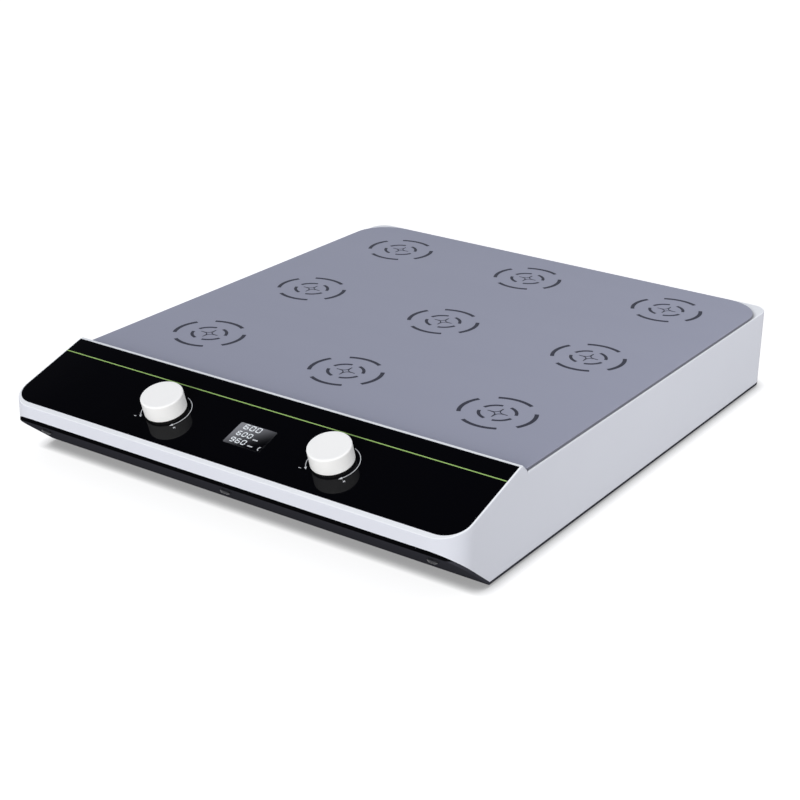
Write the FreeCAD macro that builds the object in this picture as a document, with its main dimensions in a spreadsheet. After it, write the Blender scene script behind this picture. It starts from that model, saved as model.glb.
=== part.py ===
import FreeCAD, Part
import math
import os
import Sketcher
from FreeCAD import Placement, Rotation, Vector

# Nine-place magnetic stirrer, in millimetres.
# Z is up from the bench, X = 0 is the middle of the width, and Y = 0 is the middle of the whole
# length, with the control panel at the front (negative Y) and mains inlet and switch at the back.

SIZES = [
    # Housing
    ("body_width", 298.0, "housing across its side walls"),
    ("body_depth", 363.5, "housing from front lip to back wall"),
    ("front_radius", 16.0, "upright front corners of the housing"),
    ("back_radius", 11.0, "upright back corners of the housing"),
    ("wall", 2.5, "moulded wall of the housing"),
    ("edge_radius", 0.8, "rounding of the housing's upper edges"),
    ("undercut_height", 29.8, "lower edge of the front lip above the bench"),
    ("undercut_depth", 33.2, "how far the slanted underside runs back from the lip"),
    ("foot_height", 1.6, "rubber foot below the tray"),
    ("foot_diameter", 20.0, "rubber foot"),
    ("foot_inset", 26.0, "foot centre in from the sides of the flat underside"),
    # Top plate
    ("plate_height", 52.0, "top of the work plate above the bench"),
    ("plate_thickness", 1.6, "work plate"),
    ("plate_side_margin", 1.0, "housing beyond the plate at each side"),
    ("plate_back_margin", 4.7, "housing beyond the plate at the back"),
    ("plate_back_radius", 25.0, "back corners of the work plate"),
    ("plate_front_radius", 1.5, "front corners of the work plate"),
    ("plate_gap", 0.3, "joint between the plate and the control section"),
    ("plate_edge_radius", 0.4, "rounding of the plate's upper edge"),
    # Control section
    ("control_depth", 65.5, "control section from front lip to work plate"),
    ("ridge_rise", 3.5, "ridge above the work plate"),
    ("ridge_ramp", 3.85, "run of the ramp from the plate up to the ridge"),
    ("ridge_flat", 2.2, "flat crest of the ridge"),
    ("panel_angle", 17.5, "fall of the control panel in degrees"),
    ("panel_length", 58.5, "panel glass down the slope"),
    ("panel_thickness", 2.0, "panel glass"),
    ("panel_rim", 1.0, "housing rim beside the panel glass"),
    ("panel_radius", 13.0, "front corners of the panel glass"),
    ("panel_gap", 0.1, "joint round the panel glass"),
    # Display
    ("display_width", 24.0, "display window across"),
    ("display_height", 17.0, "display window down the slope"),
    ("display_offset", 4.2, "display centre right of the middle"),
    ("display_drop", 34.2, "display centre below the panel's top edge"),
    ("display_ledge", 1.0, "seat of the window on the housing"),
    ("module_width", 40.0, "display module across"),
    ("module_depth", 20.0, "display module down the slope"),
    # Knobs and encoders
    ("knob_pitch", 112.0, "knob to knob"),
    ("knob_offset", 2.0, "middle of the knob pair right of the middle"),
    ("knob_drop", 34.0, "knob axis below the panel's top edge"),
    ("knob_diameter", 23.6, "knob cap"),
    ("knob_height", 9.8, "knob cap"),
    ("knob_gap", 1.4, "air under the knob"),
    ("knob_skin", 1.6, "wall of the knob cap"),
    ("knob_edge_radius", 0.9, "rounding of the knob's rim"),
    ("hub_diameter", 10.0, "hub inside the knob"),
    ("shaft_diameter", 6.0, "encoder shaft"),
    ("shaft_flat", 1.5, "depth of the flat on the shaft"),
    ("press_travel", 0.4, "travel when a knob is pressed"),
    ("running_fit", 0.05, "radial clearance of a turning or sliding fit"),
    ("seat_gap", 0.3, "air between pieces that must not rub"),
    ("encoder_width", 12.0, "encoder case, square"),
    ("encoder_height", 6.5, "encoder case"),
    ("bush_diameter", 7.0, "threaded bush of the encoder"),
    ("nut_width", 10.0, "encoder nut across its flats"),
    ("nut_height", 1.8, "encoder nut"),
    ("nut_hole", 13.0, "hole in the panel glass round the nut"),
    ("detent_diameter", 9.0, "detent drum of the encoder"),
    ("detent_height", 3.0, "detent drum of the encoder"),
    # Control board
    ("board_width", 150.0, "control board across"),
    ("board_depth", 34.0, "control board down the slope"),
    ("board_drop", 29.8, "middle of the control board below the panel's top edge"),
    ("board_thickness", 1.6, "every circuit board"),
    ("board_margin", 5.0, "screw centres in from a board's edges"),
    ("post_diameter", 6.4, "posts that carry the circuit boards"),
    # Stirring places
    ("place_pitch", 100.0, "stirring place to stirring place"),
    ("place_back", 146.5, "middle row of places to the back wall"),
    ("rotor_gap", 1.2, "air between magnet carrier and deck"),
    ("carrier_length", 52.0, "magnet carrier end to end"),
    ("carrier_width", 15.0, "magnet carrier across"),
    ("carrier_thickness", 5.0, "magnet carrier"),
    ("carrier_hub", 10.0, "hub under the magnet carrier"),
    ("hub_height", 1.6, "hub under the magnet carrier"),
    ("magnet_diameter", 10.0, "disc magnet"),
    ("magnet_height", 4.0, "disc magnet"),
    ("magnet_pitch", 36.0, "magnet to magnet in one carrier"),
    ("motor_diameter", 30.0, "motor can"),
    ("motor_height", 18.0, "motor can"),
    ("motor_boss", 8.0, "bearing boss on the motor"),
    ("boss_height", 3.0, "bearing boss on the motor"),
    ("motor_shaft", 3.0, "motor shaft"),
    ("shaft_depth", 12.0, "how far the shaft runs down inside the motor"),
    ("screw_pitch", 20.0, "motor screw to motor screw"),
    # Motor plate and its pillars
    ("motor_plate_margin", 25.0, "motor plate beyond the outer places"),
    ("sheet_thickness", 1.5, "motor plate and tray"),
    ("pillar_width", 7.0, "hexagon pillar across its flats"),
    ("pillar_margin", 10.0, "outer pillars in from the motor plate's edge"),
    ("rib_thickness", 2.0, "ribs under the deck"),
    ("rib_height", 5.0, "ribs under the deck"),
    # Tray fastening
    ("rim_height", 4.0, "locating rim of the tray"),
    ("rim_thickness", 1.8, "locating rim of the tray"),
    ("pad_diameter", 7.0, "screw pads on the tray"),
    ("screw_post", 8.6, "screw posts under the deck"),
    ("screw_diameter", 3.0, "every assembly screw"),
    ("screw_head", 5.6, "every screw head"),
    ("head_height", 1.8, "pan heads"),
    ("screw_reach", 8.0, "thread length in a post"),
    ("cross_length", 3.4, "cross recess in the heads of the outer screws"),
    ("cross_width", 0.8, "cross recess in the heads of the outer screws"),
    ("cross_depth", 1.0, "cross recess in the heads of the outer screws"),
    ("front_screw_pitch", 130.0, "screw to screw along the slanted underside"),
    ("front_screw_drop", 15.0, "screws below the front lip, along the slant"),
    ("front_screw_reach", 6.0, "thread length of those screws in their posts"),
    ("vent_width", 3.0, "vent slot"),
    ("vent_length", 34.0, "vent slot"),
    ("vent_pitch", 9.0, "vent slot to vent slot"),
    ("vent_count", 11.0, "vent slots in a field"),
    # Power
    ("inlet_x", -50.0, "mains inlet from the middle"),
    ("inlet_z", 24.0, "mains inlet and switch above the bench"),
    ("inlet_flange", 2.0, "flange proud of the back wall"),
    ("flange_width", 50.0, "inlet flange across its ears"),
    ("flange_height", 23.0, "inlet flange"),
    ("inlet_screw_pitch", 40.0, "inlet screw to inlet screw"),
    ("inlet_width", 28.0, "inlet body"),
    ("inlet_height", 20.0, "inlet body"),
    ("inlet_depth", 24.0, "inlet body behind its flange"),
    ("socket_width", 24.4, "socket of the inlet"),
    ("socket_height", 16.4, "socket of the inlet"),
    ("socket_depth", 17.0, "socket of the inlet"),
    ("pin_width", 4.0, "contact blade across"),
    ("pin_thickness", 2.0, "contact blade"),
    ("pin_pitch", 14.0, "line and neutral blades apart"),
    ("pin_step", 4.0, "earth blade above the other two"),
    ("pin_length", 13.5, "contact blade inside the socket"),
    ("switch_x", -104.0, "power switch from the middle"),
    ("switch_width", 15.0, "switch bezel across"),
    ("switch_height", 21.0, "switch bezel"),
    ("bezel_thickness", 1.8, "switch bezel proud of the back wall"),
    ("switch_depth", 14.0, "switch body behind its bezel"),
    ("rocker_width", 10.6, "rocker across"),
    ("rocker_height", 16.0, "rocker end to end"),
    ("rocker_angle", 11.0, "rocker's lean either way in degrees"),
    ("rocker_proud", 4.0, "raised end of the rocker beyond the back wall"),
    ("pivot_diameter", 2.4, "rocker pivot"),
    ("supply_width", 100.0, "power supply board"),
    ("supply_depth", 34.0, "power supply and driver boards"),
    ("driver_width", 86.0, "motor driver board"),
    ("board_lift", 5.0, "supply and driver boards above the tray"),
    ("board_split", 16.0, "gap between supply and driver boards"),
    ("part_gap", 6.0, "air between the parts on those boards"),
    ("filter_width", 14.0, "mains filter"),
    ("filter_depth", 22.0, "mains filter"),
    ("filter_height", 12.0, "mains filter"),
    ("capacitor_diameter", 14.0, "reservoir capacitor"),
    ("capacitor_height", 20.0, "reservoir capacitor"),
    ("transformer_width", 22.0, "transformer, square"),
    ("transformer_height", 18.0, "transformer"),
    ("heatsink_width", 12.0, "heat sink"),
    ("heatsink_height", 11.0, "heat sink"),
    ("chip_width", 12.0, "motor controller, square"),
    ("chip_height", 2.0, "motor controller"),
    ("header_width", 16.0, "motor plug row"),
    ("header_depth", 8.0, "motor plug row"),
    ("header_height", 7.0, "motor plug row"),
]

# Spare length of cutting tools beyond the faces that they cut
CLEAR = 5.0


class Dim:
    """A length or an angle: its formula over the sheet, and its present value."""

    def __init__(self, formula, value):
        self.formula = formula
        self.value = value

    def __add__(self, other):
        other = dim(other)
        return Dim(f"({self.formula} + {other.formula})", self.value + other.value)

    def __radd__(self, other):
        return dim(other) + self

    def __sub__(self, other):
        other = dim(other)
        return Dim(f"({self.formula} - {other.formula})", self.value - other.value)

    def __rsub__(self, other):
        return dim(other) - self

    def __mul__(self, other):
        other = dim(other)
        return Dim(f"({self.formula} * {other.formula})", self.value * other.value)

    def __rmul__(self, other):
        return dim(other) * self

    def __truediv__(self, other):
        other = dim(other)
        return Dim(f"({self.formula} / {other.formula})", self.value / other.value)

    def __neg__(self):
        return Dim(f"(0 - {self.formula})", -self.value)


def dim(number):
    """A plain number as a Dim."""
    if isinstance(number, Dim):
        return number
    return Dim(f"({number})", float(number))


def cosine(angle):
    return Dim(f"cos({angle.formula})", math.cos(math.radians(angle.value)))


def sine(angle):
    return Dim(f"sin({angle.formula})", math.sin(math.radians(angle.value)))


def root(number):
    return Dim(f"sqrt({number.formula})", math.sqrt(number.value))


doc = FreeCAD.newDocument("Stirrer")


def sheet_of_sizes():
    """The driving dimensions, one named cell each."""
    sheet = doc.addObject("Spreadsheet::Sheet", "Sizes")
    for row, (name, value, meaning) in enumerate(SIZES, start=1):
        sheet.set(f"A{row}", meaning)
        sheet.set(f"B{row}", str(value))
        sheet.setAlias(f"B{row}", name)
    doc.recompute()
    return {name: Dim(f"Sizes.{name}", value) for name, value, meaning in SIZES}


D = sheet_of_sizes()

# Housing
half_width = D["body_width"] / 2
front_y = -(D["body_depth"] + D["rocker_proud"]) / 2
back_y = front_y + D["body_depth"]
tray_top = D["foot_height"] + D["sheet_thickness"]
seat_z = D["plate_height"] - D["plate_thickness"]
ceiling_z = seat_z - D["wall"]
plate_front = front_y + D["control_depth"]
step_y = plate_front - D["plate_gap"]
crest_back = step_y - D["ridge_ramp"]
ridge_z = D["plate_height"] + D["ridge_rise"]

# The control panel's own frame: origin on the glass at the middle of its top edge, X right,
# Y up the slope and Z out of the glass
panel_y = crest_back - D["ridge_flat"]
fall = sine(D["panel_angle"]) / cosine(D["panel_angle"])
glass_half = half_width - D["panel_rim"]
wall_top = -D["panel_thickness"]
wall_under = wall_top - D["wall"]
board_top = wall_under - D["encoder_height"]
board_under = board_top - D["board_thickness"]
knob_y = -D["knob_drop"]
display_y = -D["display_drop"]
board_y = -D["board_drop"]

# Slanted underside behind the front lip
slant = (D["undercut_height"] - tray_top) / D["undercut_depth"]
slant_run = root(1 + slant * slant)
bend_y = front_y + D["undercut_depth"]

# Stirring places, from the deck down to the motors
place_y = back_y - D["place_back"]
carrier_top = ceiling_z - D["rotor_gap"]
carrier_under = carrier_top - D["carrier_thickness"]
boss_top = carrier_under - D["hub_height"] - D["seat_gap"]
motor_top = boss_top - D["boss_height"]
plate_top = motor_top + D["sheet_thickness"]

PLACES = [(column, row) for row in (-1, 0, 1) for column in (-1, 0, 1)]


def slope_z(y):
    """Height of the glass face at y."""
    return ridge_z + (y - panel_y) * fall


def slant_z(y):
    """Height of the housing's slanted lower rim at y."""
    return tray_top + (bend_y - y) * slant


# Helpers for sketches and features


def body(name):
    return doc.addObject("PartDesign::Body", name)


def sketch_on(owner, role, lift=None):
    """An empty sketch on one of the body's own planes, raised along the plane's normal."""
    sketch = owner.newObject("Sketcher::SketchObject", "Outline")
    plane = next(item for item in owner.Origin.OriginFeatures if item.Role == role)
    sketch.AttachmentSupport = [(plane, "")]
    sketch.MapMode = "FlatFace"
    if lift is not None:
        sketch.AttachmentOffset = Placement(Vector(0, 0, lift.value), Rotation())
        sketch.setExpression("AttachmentOffset.Base.z", lift.formula)
    return sketch


def hold(sketch, kind, *where, size):
    """A dimension bound to the sheet."""
    index = sketch.addConstraint(Sketcher.Constraint(kind, *where, size.value))
    sketch.setExpression(f"Constraints[{index}]", size.formula)


def hold_point(sketch, item, end, x, y):
    hold(sketch, "DistanceX", -1, 1, item, end, size=dim(x))
    hold(sketch, "DistanceY", -1, 1, item, end, size=dim(y))


def polygon(sketch, corners):
    """A closed outline of straight lines through named corners."""
    corners = [(dim(x), dim(y)) for x, y in corners]
    first = sketch.GeometryCount
    points = [Vector(x.value, y.value, 0) for x, y in corners]
    for start, end in zip(points, points[1:] + points[:1]):
        sketch.addGeometry(Part.LineSegment(start, end), False)
    for index in range(len(corners)):
        after = first + (index + 1) % len(corners)
        sketch.addConstraint(Sketcher.Constraint("Coincident", first + index, 2, after, 1))
    for index, (x, y) in enumerate(corners):
        hold_point(sketch, first + index, 1, x, y)


def circle(sketch, x, y, diameter):
    centre = Vector(dim(x).value, dim(y).value, 0)
    item = sketch.addGeometry(Part.Circle(centre, Vector(0, 0, 1), diameter.value / 2), False)
    hold_point(sketch, item, 3, x, y)
    hold(sketch, "Diameter", item, size=diameter)


def rounded(sketch, left, right, low, high, low_radius, high_radius=None):
    """A rectangle with rounded corners, one radius for the low side and one for the high side."""
    left, right, low, high, low_radius = (dim(size) for size in (left, right, low, high, low_radius))
    high_radius = low_radius if high_radius is None else dim(high_radius)
    corners = [
        (left, low, 1, 1, low_radius),
        (right, low, -1, 1, low_radius),
        (right, high, -1, -1, high_radius),
        (left, high, 1, -1, high_radius),
    ]
    first = sketch.GeometryCount
    turns = (math.pi, 1.5 * math.pi, 0, 0.5 * math.pi)
    for (x, y, inward_x, inward_y, radius), start in zip(corners, turns):
        centre = Vector(x.value + inward_x * radius.value, y.value + inward_y * radius.value, 0)
        full = Part.Circle(centre, Vector(0, 0, 1), radius.value)
        sketch.addGeometry(Part.ArcOfCircle(full, start, start + math.pi / 2), False)
    ends = [sketch.getPoint(first + index, end) for index in range(4) for end in (1, 2)]
    for index in range(4):
        start = ends[2 * index + 1]
        end = ends[(2 * index + 2) % 8]
        sketch.addGeometry(Part.LineSegment(start, end), False)
    for index in range(4):
        line = first + 4 + index
        after = first + (index + 1) % 4
        sketch.addConstraint(Sketcher.Constraint("Tangent", first + index, 2, line, 1))
        sketch.addConstraint(Sketcher.Constraint("Tangent", line, 2, after, 1))
        kind = "Horizontal" if index % 2 == 0 else "Vertical"
        sketch.addConstraint(Sketcher.Constraint(kind, line))
    for index, (x, y, inward_x, inward_y, radius) in enumerate(corners):
        hold(sketch, "Radius", first + index, size=radius)
    hold(sketch, "DistanceY", -1, 1, first + 4, 1, size=low)
    hold(sketch, "DistanceX", -1, 1, first + 5, 1, size=right)
    hold(sketch, "DistanceY", -1, 1, first + 6, 1, size=high)
    hold(sketch, "DistanceX", -1, 1, first + 7, 1, size=left)


def slot(sketch, length, width):
    """A bar with round ends, lying along X about the origin."""
    reach = (length - width) / 2
    radius = width / 2
    up = Vector(0, 0, 1)
    for side, start in ((1, -0.5 * math.pi), (-1, 0.5 * math.pi)):
        full = Part.Circle(Vector(side * reach.value, 0, 0), up, radius.value)
        sketch.addGeometry(Part.ArcOfCircle(full, start, start + math.pi), False)
    for arc, other in ((0, 1), (1, 0)):
        line = sketch.addGeometry(Part.LineSegment(sketch.getPoint(arc, 2), sketch.getPoint(other, 1)), False)
        sketch.addConstraint(Sketcher.Constraint("Tangent", arc, 2, line, 1))
        sketch.addConstraint(Sketcher.Constraint("Tangent", line, 2, other, 1))
    hold_point(sketch, 0, 3, reach, 0)
    hold_point(sketch, 1, 3, -reach, 0)
    hold(sketch, "Radius", 0, size=radius)


def pad(owner, sketch, length, symmetric=False):
    feature = owner.newObject("PartDesign::Pad", "Pad")
    feature.Profile = sketch
    feature.Length = length.value
    feature.setExpression("Length", length.formula)
    if symmetric:
        feature.SideType = "Symmetric"
    return feature


def pocket(owner, sketch, length=None, symmetric=False, reverse=False):
    """Cuts the sketch out of the body: through it all, or to a depth."""
    feature = owner.newObject("PartDesign::Pocket", "Pocket")
    feature.Profile = sketch
    if length is None:
        feature.Type = "ThroughAll"
    else:
        feature.Length = length.value
        feature.setExpression("Length", length.formula)
    if symmetric:
        feature.SideType = "Symmetric"
    feature.Reversed = reverse
    return feature


def revolve(owner, sketch):
    """Turns the sketch once round the body's upright axis."""
    feature = owner.newObject("PartDesign::Revolution", "Revolution")
    feature.Profile = sketch
    axis = next(item for item in owner.Origin.OriginFeatures if item.Role == "Z_Axis")
    feature.ReferenceAxis = (axis, [""])
    feature.Angle = 360
    return feature


def rounding(owner, radius, wanted):
    """Rounds the edges whose middle point the test accepts."""
    doc.recompute()
    base = owner.Tip
    names = []
    for index, edge in enumerate(base.Shape.Edges, start=1):
        middle = edge.valueAt((edge.FirstParameter + edge.LastParameter) / 2)
        if wanted(middle, edge):
            names.append(f"Edge{index}")
    feature = owner.newObject("PartDesign::Fillet", "Fillet")
    feature.Base = (base, names)
    feature.Radius = radius.value
    feature.setExpression("Radius", radius.formula)
    return feature


def countersink(owner, size, level, hole):
    """Bevels the ends of the body's screw holes at one level."""
    doc.recompute()
    base = owner.Tip
    names = []
    for index, edge in enumerate(base.Shape.Edges, start=1):
        round_edge = isinstance(edge.Curve, Part.Circle) and abs(edge.Curve.Radius - hole.value / 2) < 1e-4
        if round_edge and abs(edge.CenterOfMass.z - level.value) < 1e-4:
            names.append(f"Edge{index}")
    feature = owner.newObject("PartDesign::Chamfer", "Countersinks")
    feature.Base = (base, names)
    feature.Size = size.value
    feature.setExpression("Size", size.formula)
    return feature


def place(item, x=0, y=0, z=0, turn=None):
    """Puts a piece in the housing's frame, turned about X by a named angle."""
    x, y, z = dim(x), dim(y), dim(z)
    rotation = Rotation(Vector(1, 0, 0), turn.value) if turn is not None else Rotation()
    item.Placement = Placement(Vector(x.value, y.value, z.value), rotation)
    for axis, size in (("x", x), ("y", y), ("z", z)):
        item.setExpression(f"Placement.Base.{axis}", size.formula)
    if turn is not None:
        item.setExpression("Placement.Rotation.Angle", turn.formula)
    return item


def on_panel(item, x=0, y=0, z=0):
    """Puts a piece square to the panel glass, at a place in the panel's own frame."""
    slope = D["panel_angle"]
    y, z = dim(y), dim(z)
    high_y = panel_y + y * cosine(slope) - z * sine(slope)
    high_z = ridge_z + y * sine(slope) + z * cosine(slope)
    return place(item, x, high_y, high_z, turn=slope)


def box(x0, x1, y0, y1, z0, z1, name="Block"):
    """A block between two corners in the housing's frame."""
    item = doc.addObject("Part::Box", name)
    for side, low, high in (("Length", x0, x1), ("Width", y0, y1), ("Height", z0, z1)):
        size = dim(high) - dim(low)
        setattr(item, side, size.value)
        item.setExpression(side, size.formula)
    return place(item, x0, y0, z0)


def rod(diameter, height, name="Rod"):
    """An upright cylinder standing on its own origin."""
    item = doc.addObject("Part::Cylinder", name)
    diameter, height = dim(diameter), dim(height)
    item.Radius = diameter.value / 2
    item.setExpression("Radius", (diameter / 2).formula)
    item.Height = height.value
    item.setExpression("Height", height.formula)
    return item


def fuse(pieces, name="Fused"):
    item = doc.addObject("Part::MultiFuse", name)
    item.Shapes = pieces
    item.Refine = True
    return item


def shared(first, second, name="Shared"):
    item = doc.addObject("Part::Common", name)
    item.Base = first
    item.Tool = second
    return item


def cut(base, tool, name="Trimmed"):
    item = doc.addObject("Part::Cut", name)
    item.Base = base
    item.Tool = tool
    item.Refine = True
    return item


NODES = []


def node(item, name):
    """Names a finished sub-part."""
    item.Label = name
    NODES.append(item)
    return item


def group(master, spots, name):
    """Copies of one piece as separate solids in one node."""
    doc.recompute()
    copies = []
    for spot in spots:
        copy = master.Shape.copy()
        copy.Placement = spot.multiply(master.Placement)
        copies.append(copy)
    item = doc.addObject("Part::Feature", name)
    item.Shape = Part.makeCompound(copies)
    return node(item, name)


def spot(x, y, z, turn=0.0):
    """Where one copy of a grouped piece goes, turned about X by degrees."""
    return Placement(Vector(dim(x).value, dim(y).value, dim(z).value), Rotation(Vector(1, 0, 0), turn))


# Housing shell


def footprint(sketch, inset):
    """The housing's plan outline, moved inwards all round."""
    rounded(
        sketch,
        -half_width + inset,
        half_width - inset,
        front_y + inset,
        back_y - inset,
        D["front_radius"] - inset,
        D["back_radius"] - inset,
    )


def shell_block():
    """The solid outer form: plan outline, flat deck, ridge, sloping panel face and undercut."""
    block = body("ShellBlock")
    plan = sketch_on(block, "XY_Plane", tray_top)
    footprint(plan, dim(0))
    pad(block, plan, ridge_z - tray_top)
    above = sketch_on(block, "YZ_Plane")
    behind = back_y + CLEAR
    before = front_y - CLEAR
    over = ridge_z + CLEAR
    deck = [(behind, seat_z), (step_y, seat_z), (step_y, D["plate_height"]), (crest_back, ridge_z)]
    polygon(above, deck + [(crest_back, over), (behind, over)])
    polygon(above, [(panel_y, ridge_z), (before, slope_z(before)), (before, over), (panel_y, over)])
    pocket(block, above, symmetric=True)
    below = sketch_on(block, "YZ_Plane")
    under = tray_top - CLEAR
    polygon(below, [(bend_y, tray_top), (before, slant_z(before)), (before, under), (bend_y, under)])
    pocket(block, below, symmetric=True)

    rounding(block, D["edge_radius"], on_top_outline)
    return block


def on_top_outline(middle, edge):
    """True for the edges where the housing's upright walls meet its upper faces."""
    half = half_width.value
    corner = max(D["front_radius"].value, D["back_radius"].value)
    at_side = abs(abs(middle.x) - half) < 1e-4
    at_end = middle.y < front_y.value + corner or middle.y > back_y.value - corner
    low = min(seat_z.value, slope_z(front_y).value) - 1e-4
    inside = abs(middle.x) < half - 1e-4 and front_y.value + 1e-4 < middle.y < back_y.value - 1e-4
    at_corner = at_end and inside and isinstance(edge.Curve, (Part.Circle, Part.Ellipse))
    upright = abs(edge.tangentAt(edge.FirstParameter).z) > 0.999
    return middle.z > low and not upright and (at_side or at_corner or not inside)


def shell_hollow():
    """The space inside the walls: level under the deck, then up into the ridge and down the slope."""
    hollow = body("ShellHollow")
    plan = sketch_on(hollow, "XY_Plane", -dim(CLEAR))
    footprint(plan, D["wall"])
    pad(hollow, plan, ridge_z + CLEAR)
    drop = (D["panel_thickness"] + D["wall"]) / cosine(D["panel_angle"])
    behind = back_y + CLEAR
    before = front_y - CLEAR
    over = ridge_z + 2 * CLEAR
    above = sketch_on(hollow, "YZ_Plane")
    roof = [(behind, ceiling_z), (step_y - D["wall"], ceiling_z), (crest_back, slope_z(crest_back) - drop)]
    polygon(above, roof + [(before, slope_z(before) - drop), (before, over), (behind, over)])
    pocket(hollow, above, symmetric=True)
    return hollow


def screw_rows():
    """The six tray screws: near both sides, at the front bend, the middle and the back."""
    inset = D["wall"] + D["seat_gap"] + D["pad_diameter"] / 2
    sides = (-half_width + inset, half_width - inset)
    rows = (bend_y + 3 * inset, place_y, back_y - 3 * inset)
    return [(x, y) for y in rows for x in sides]


def front_screw_spots():
    """Where the screws of the slanted underside meet the housing's lower rim."""
    y = front_y + D["front_screw_drop"] / slant_run
    return [(column * D["front_screw_pitch"], y, slant_z(y)) for column in (-1, 0, 1)]


def slant_angle():
    """Turn about X that lays an upright rod square to the slanted underside."""
    return Dim(f"(-1 * atan({slant.formula}))", -math.degrees(math.atan(slant.value)))


def shell_posts():
    """Screw posts, board posts and ribs, over-long until the outer form trims them."""
    pieces = []
    height = ceiling_z - tray_top - D["rim_height"]
    for x, y in screw_rows():
        pieces.append(place(rod(D["screw_post"], height + CLEAR), x, y, tray_top + D["rim_height"]))
    web = D["wall"] / 2
    radius = D["screw_post"] / 2
    length = D["front_screw_reach"] + D["seat_gap"]
    for x, y, z in front_screw_spots():
        pieces.append(place(rod(D["screw_post"], length), x, y, z, turn=slant_angle()))
        pieces.append(box(x - web, x + web, front_y, y + radius, z - D["wall"], ridge_z))
    for x, y in board_screws():
        pieces.append(on_panel(rod(D["post_diameter"], -board_top), x, y, board_top))
    half_rib = D["rib_thickness"] / 2
    rib_front = step_y - D["wall"]
    rib_low = ceiling_z - D["rib_height"]
    for side in (-1, 1):
        middle = side * D["place_pitch"] / 2
        pieces.append(box(middle - half_rib, middle + half_rib, rib_front, back_y, rib_low, seat_z))
        middle = place_y + side * D["place_pitch"] / 2
        pieces.append(box(-half_width, half_width, middle - half_rib, middle + half_rib, rib_low, seat_z))
    return fuse(pieces, "ShellPosts")


def board_screws():
    """Screw centres of the control board, in the panel's frame."""
    across = D["board_width"] / 2 - D["board_margin"]
    down = D["board_depth"] / 2 - D["board_margin"]
    return [
        (D["knob_offset"] + side * across, board_y + end * down) for side in (-1, 1) for end in (-1, 1)
    ]


def knob_centres():
    """Knob axes in the panel's frame, timer first."""
    return [D["knob_offset"] + side * D["knob_pitch"] / 2 for side in (-1, 1)]


def glass_recess():
    """The seat of the panel glass, with its joint all round."""
    recess = body("GlassRecess")
    plan = sketch_on(recess, "XY_Plane", wall_top)
    gap = D["panel_gap"]
    reach = glass_half + gap
    rounded(plan, -reach, reach, -D["panel_length"] - gap, gap, D["panel_radius"] + gap, gap * 2)
    pad(recess, plan, D["panel_thickness"] + CLEAR)
    return on_panel(recess)


def slope_window():
    """The opening in the sloping wall behind the display window."""
    window = body("SlopeWindow")
    plan = sketch_on(window, "XY_Plane", wall_under - CLEAR)
    across = D["display_width"] / 2 - D["display_ledge"]
    down = D["display_height"] / 2 - D["display_ledge"]
    rounded(plan, -across, across, -down, down, D["display_ledge"])
    pad(window, plan, D["wall"] + 2 * CLEAR)
    return on_panel(window, D["display_offset"], display_y)


def pilot(depth):
    """A screw's pilot hole, longer than the screw by its clearance."""
    return rod(D["screw_diameter"] + 2 * D["running_fit"], depth, "Pilot")


def shell_cuts():
    """Everything cut out of the shell: glass seat, bush holes, window, screw and socket openings."""
    tools = [glass_recess(), slope_window()]
    for x in knob_centres():
        hole = rod(D["bush_diameter"] + 2 * D["seat_gap"], D["wall"] + 2 * CLEAR)
        tools.append(on_panel(hole, x, knob_y, wall_under - CLEAR))
    deep = D["screw_reach"] + D["seat_gap"]
    for x, y in screw_rows():
        tools.append(place(pilot(deep), x, y, tray_top + D["rim_height"]))
    deep = D["front_screw_reach"] + D["seat_gap"] / 2
    for x, y, z in front_screw_spots():
        tools.append(place(pilot(deep), x, y, z, turn=slant_angle()))
    for x, y in board_screws():
        tools.append(on_panel(pilot(D["encoder_height"]), x, y, board_top))
    low = back_y - D["wall"] - CLEAR
    gap = D["seat_gap"]
    for x, width, height in (
        (D["inlet_x"], D["inlet_width"], D["inlet_height"]),
        (D["switch_x"], switch_body_width, switch_body_height),
    ):
        across = width / 2 + gap
        tall = height / 2 + gap
        middle = D["inlet_z"]
        tools.append(box(x - across, x + across, low, back_y + CLEAR, middle - tall, middle + tall))
    for side in (-1, 1):
        hole = pilot(D["wall"] + 2 * CLEAR)
        x = D["inlet_x"] + side * D["inlet_screw_pitch"] / 2
        tools.append(place(hole, x, back_y + CLEAR, D["inlet_z"], turn=dim(90)))
    return fuse(tools, "ShellCuts")


# Switch body inside its bezel
switch_body_width = D["switch_width"] - 2 * D["bezel_thickness"] + 2 * D["seat_gap"]
switch_body_height = D["switch_height"] - 2 * D["bezel_thickness"] + 2 * D["seat_gap"]


def housing_shell():
    block = shell_block()
    walls = cut(block, shell_hollow(), "ShellWalls")
    inner = shared(shell_posts(), block, "ShellInner")
    whole = fuse([walls, inner], "ShellWhole")
    node(cut(whole, shell_cuts(), "HousingShell"), "housing_shell")


# Work plate and control panel


def top_plate():
    plate = body("TopPlate")
    plan = sketch_on(plate, "XY_Plane")
    side = half_width - D["plate_side_margin"]
    low = plate_front
    high = back_y - D["plate_back_margin"]
    rounded(plan, -side, side, low, high, D["plate_front_radius"], D["plate_back_radius"])
    pad(plate, plan, D["plate_thickness"])
    top = D["plate_thickness"].value
    rounding(plate, D["plate_edge_radius"], lambda middle, edge: abs(middle.z - top) < 1e-4)
    place(plate, z=seat_z)
    node(plate, "top_plate")


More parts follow.
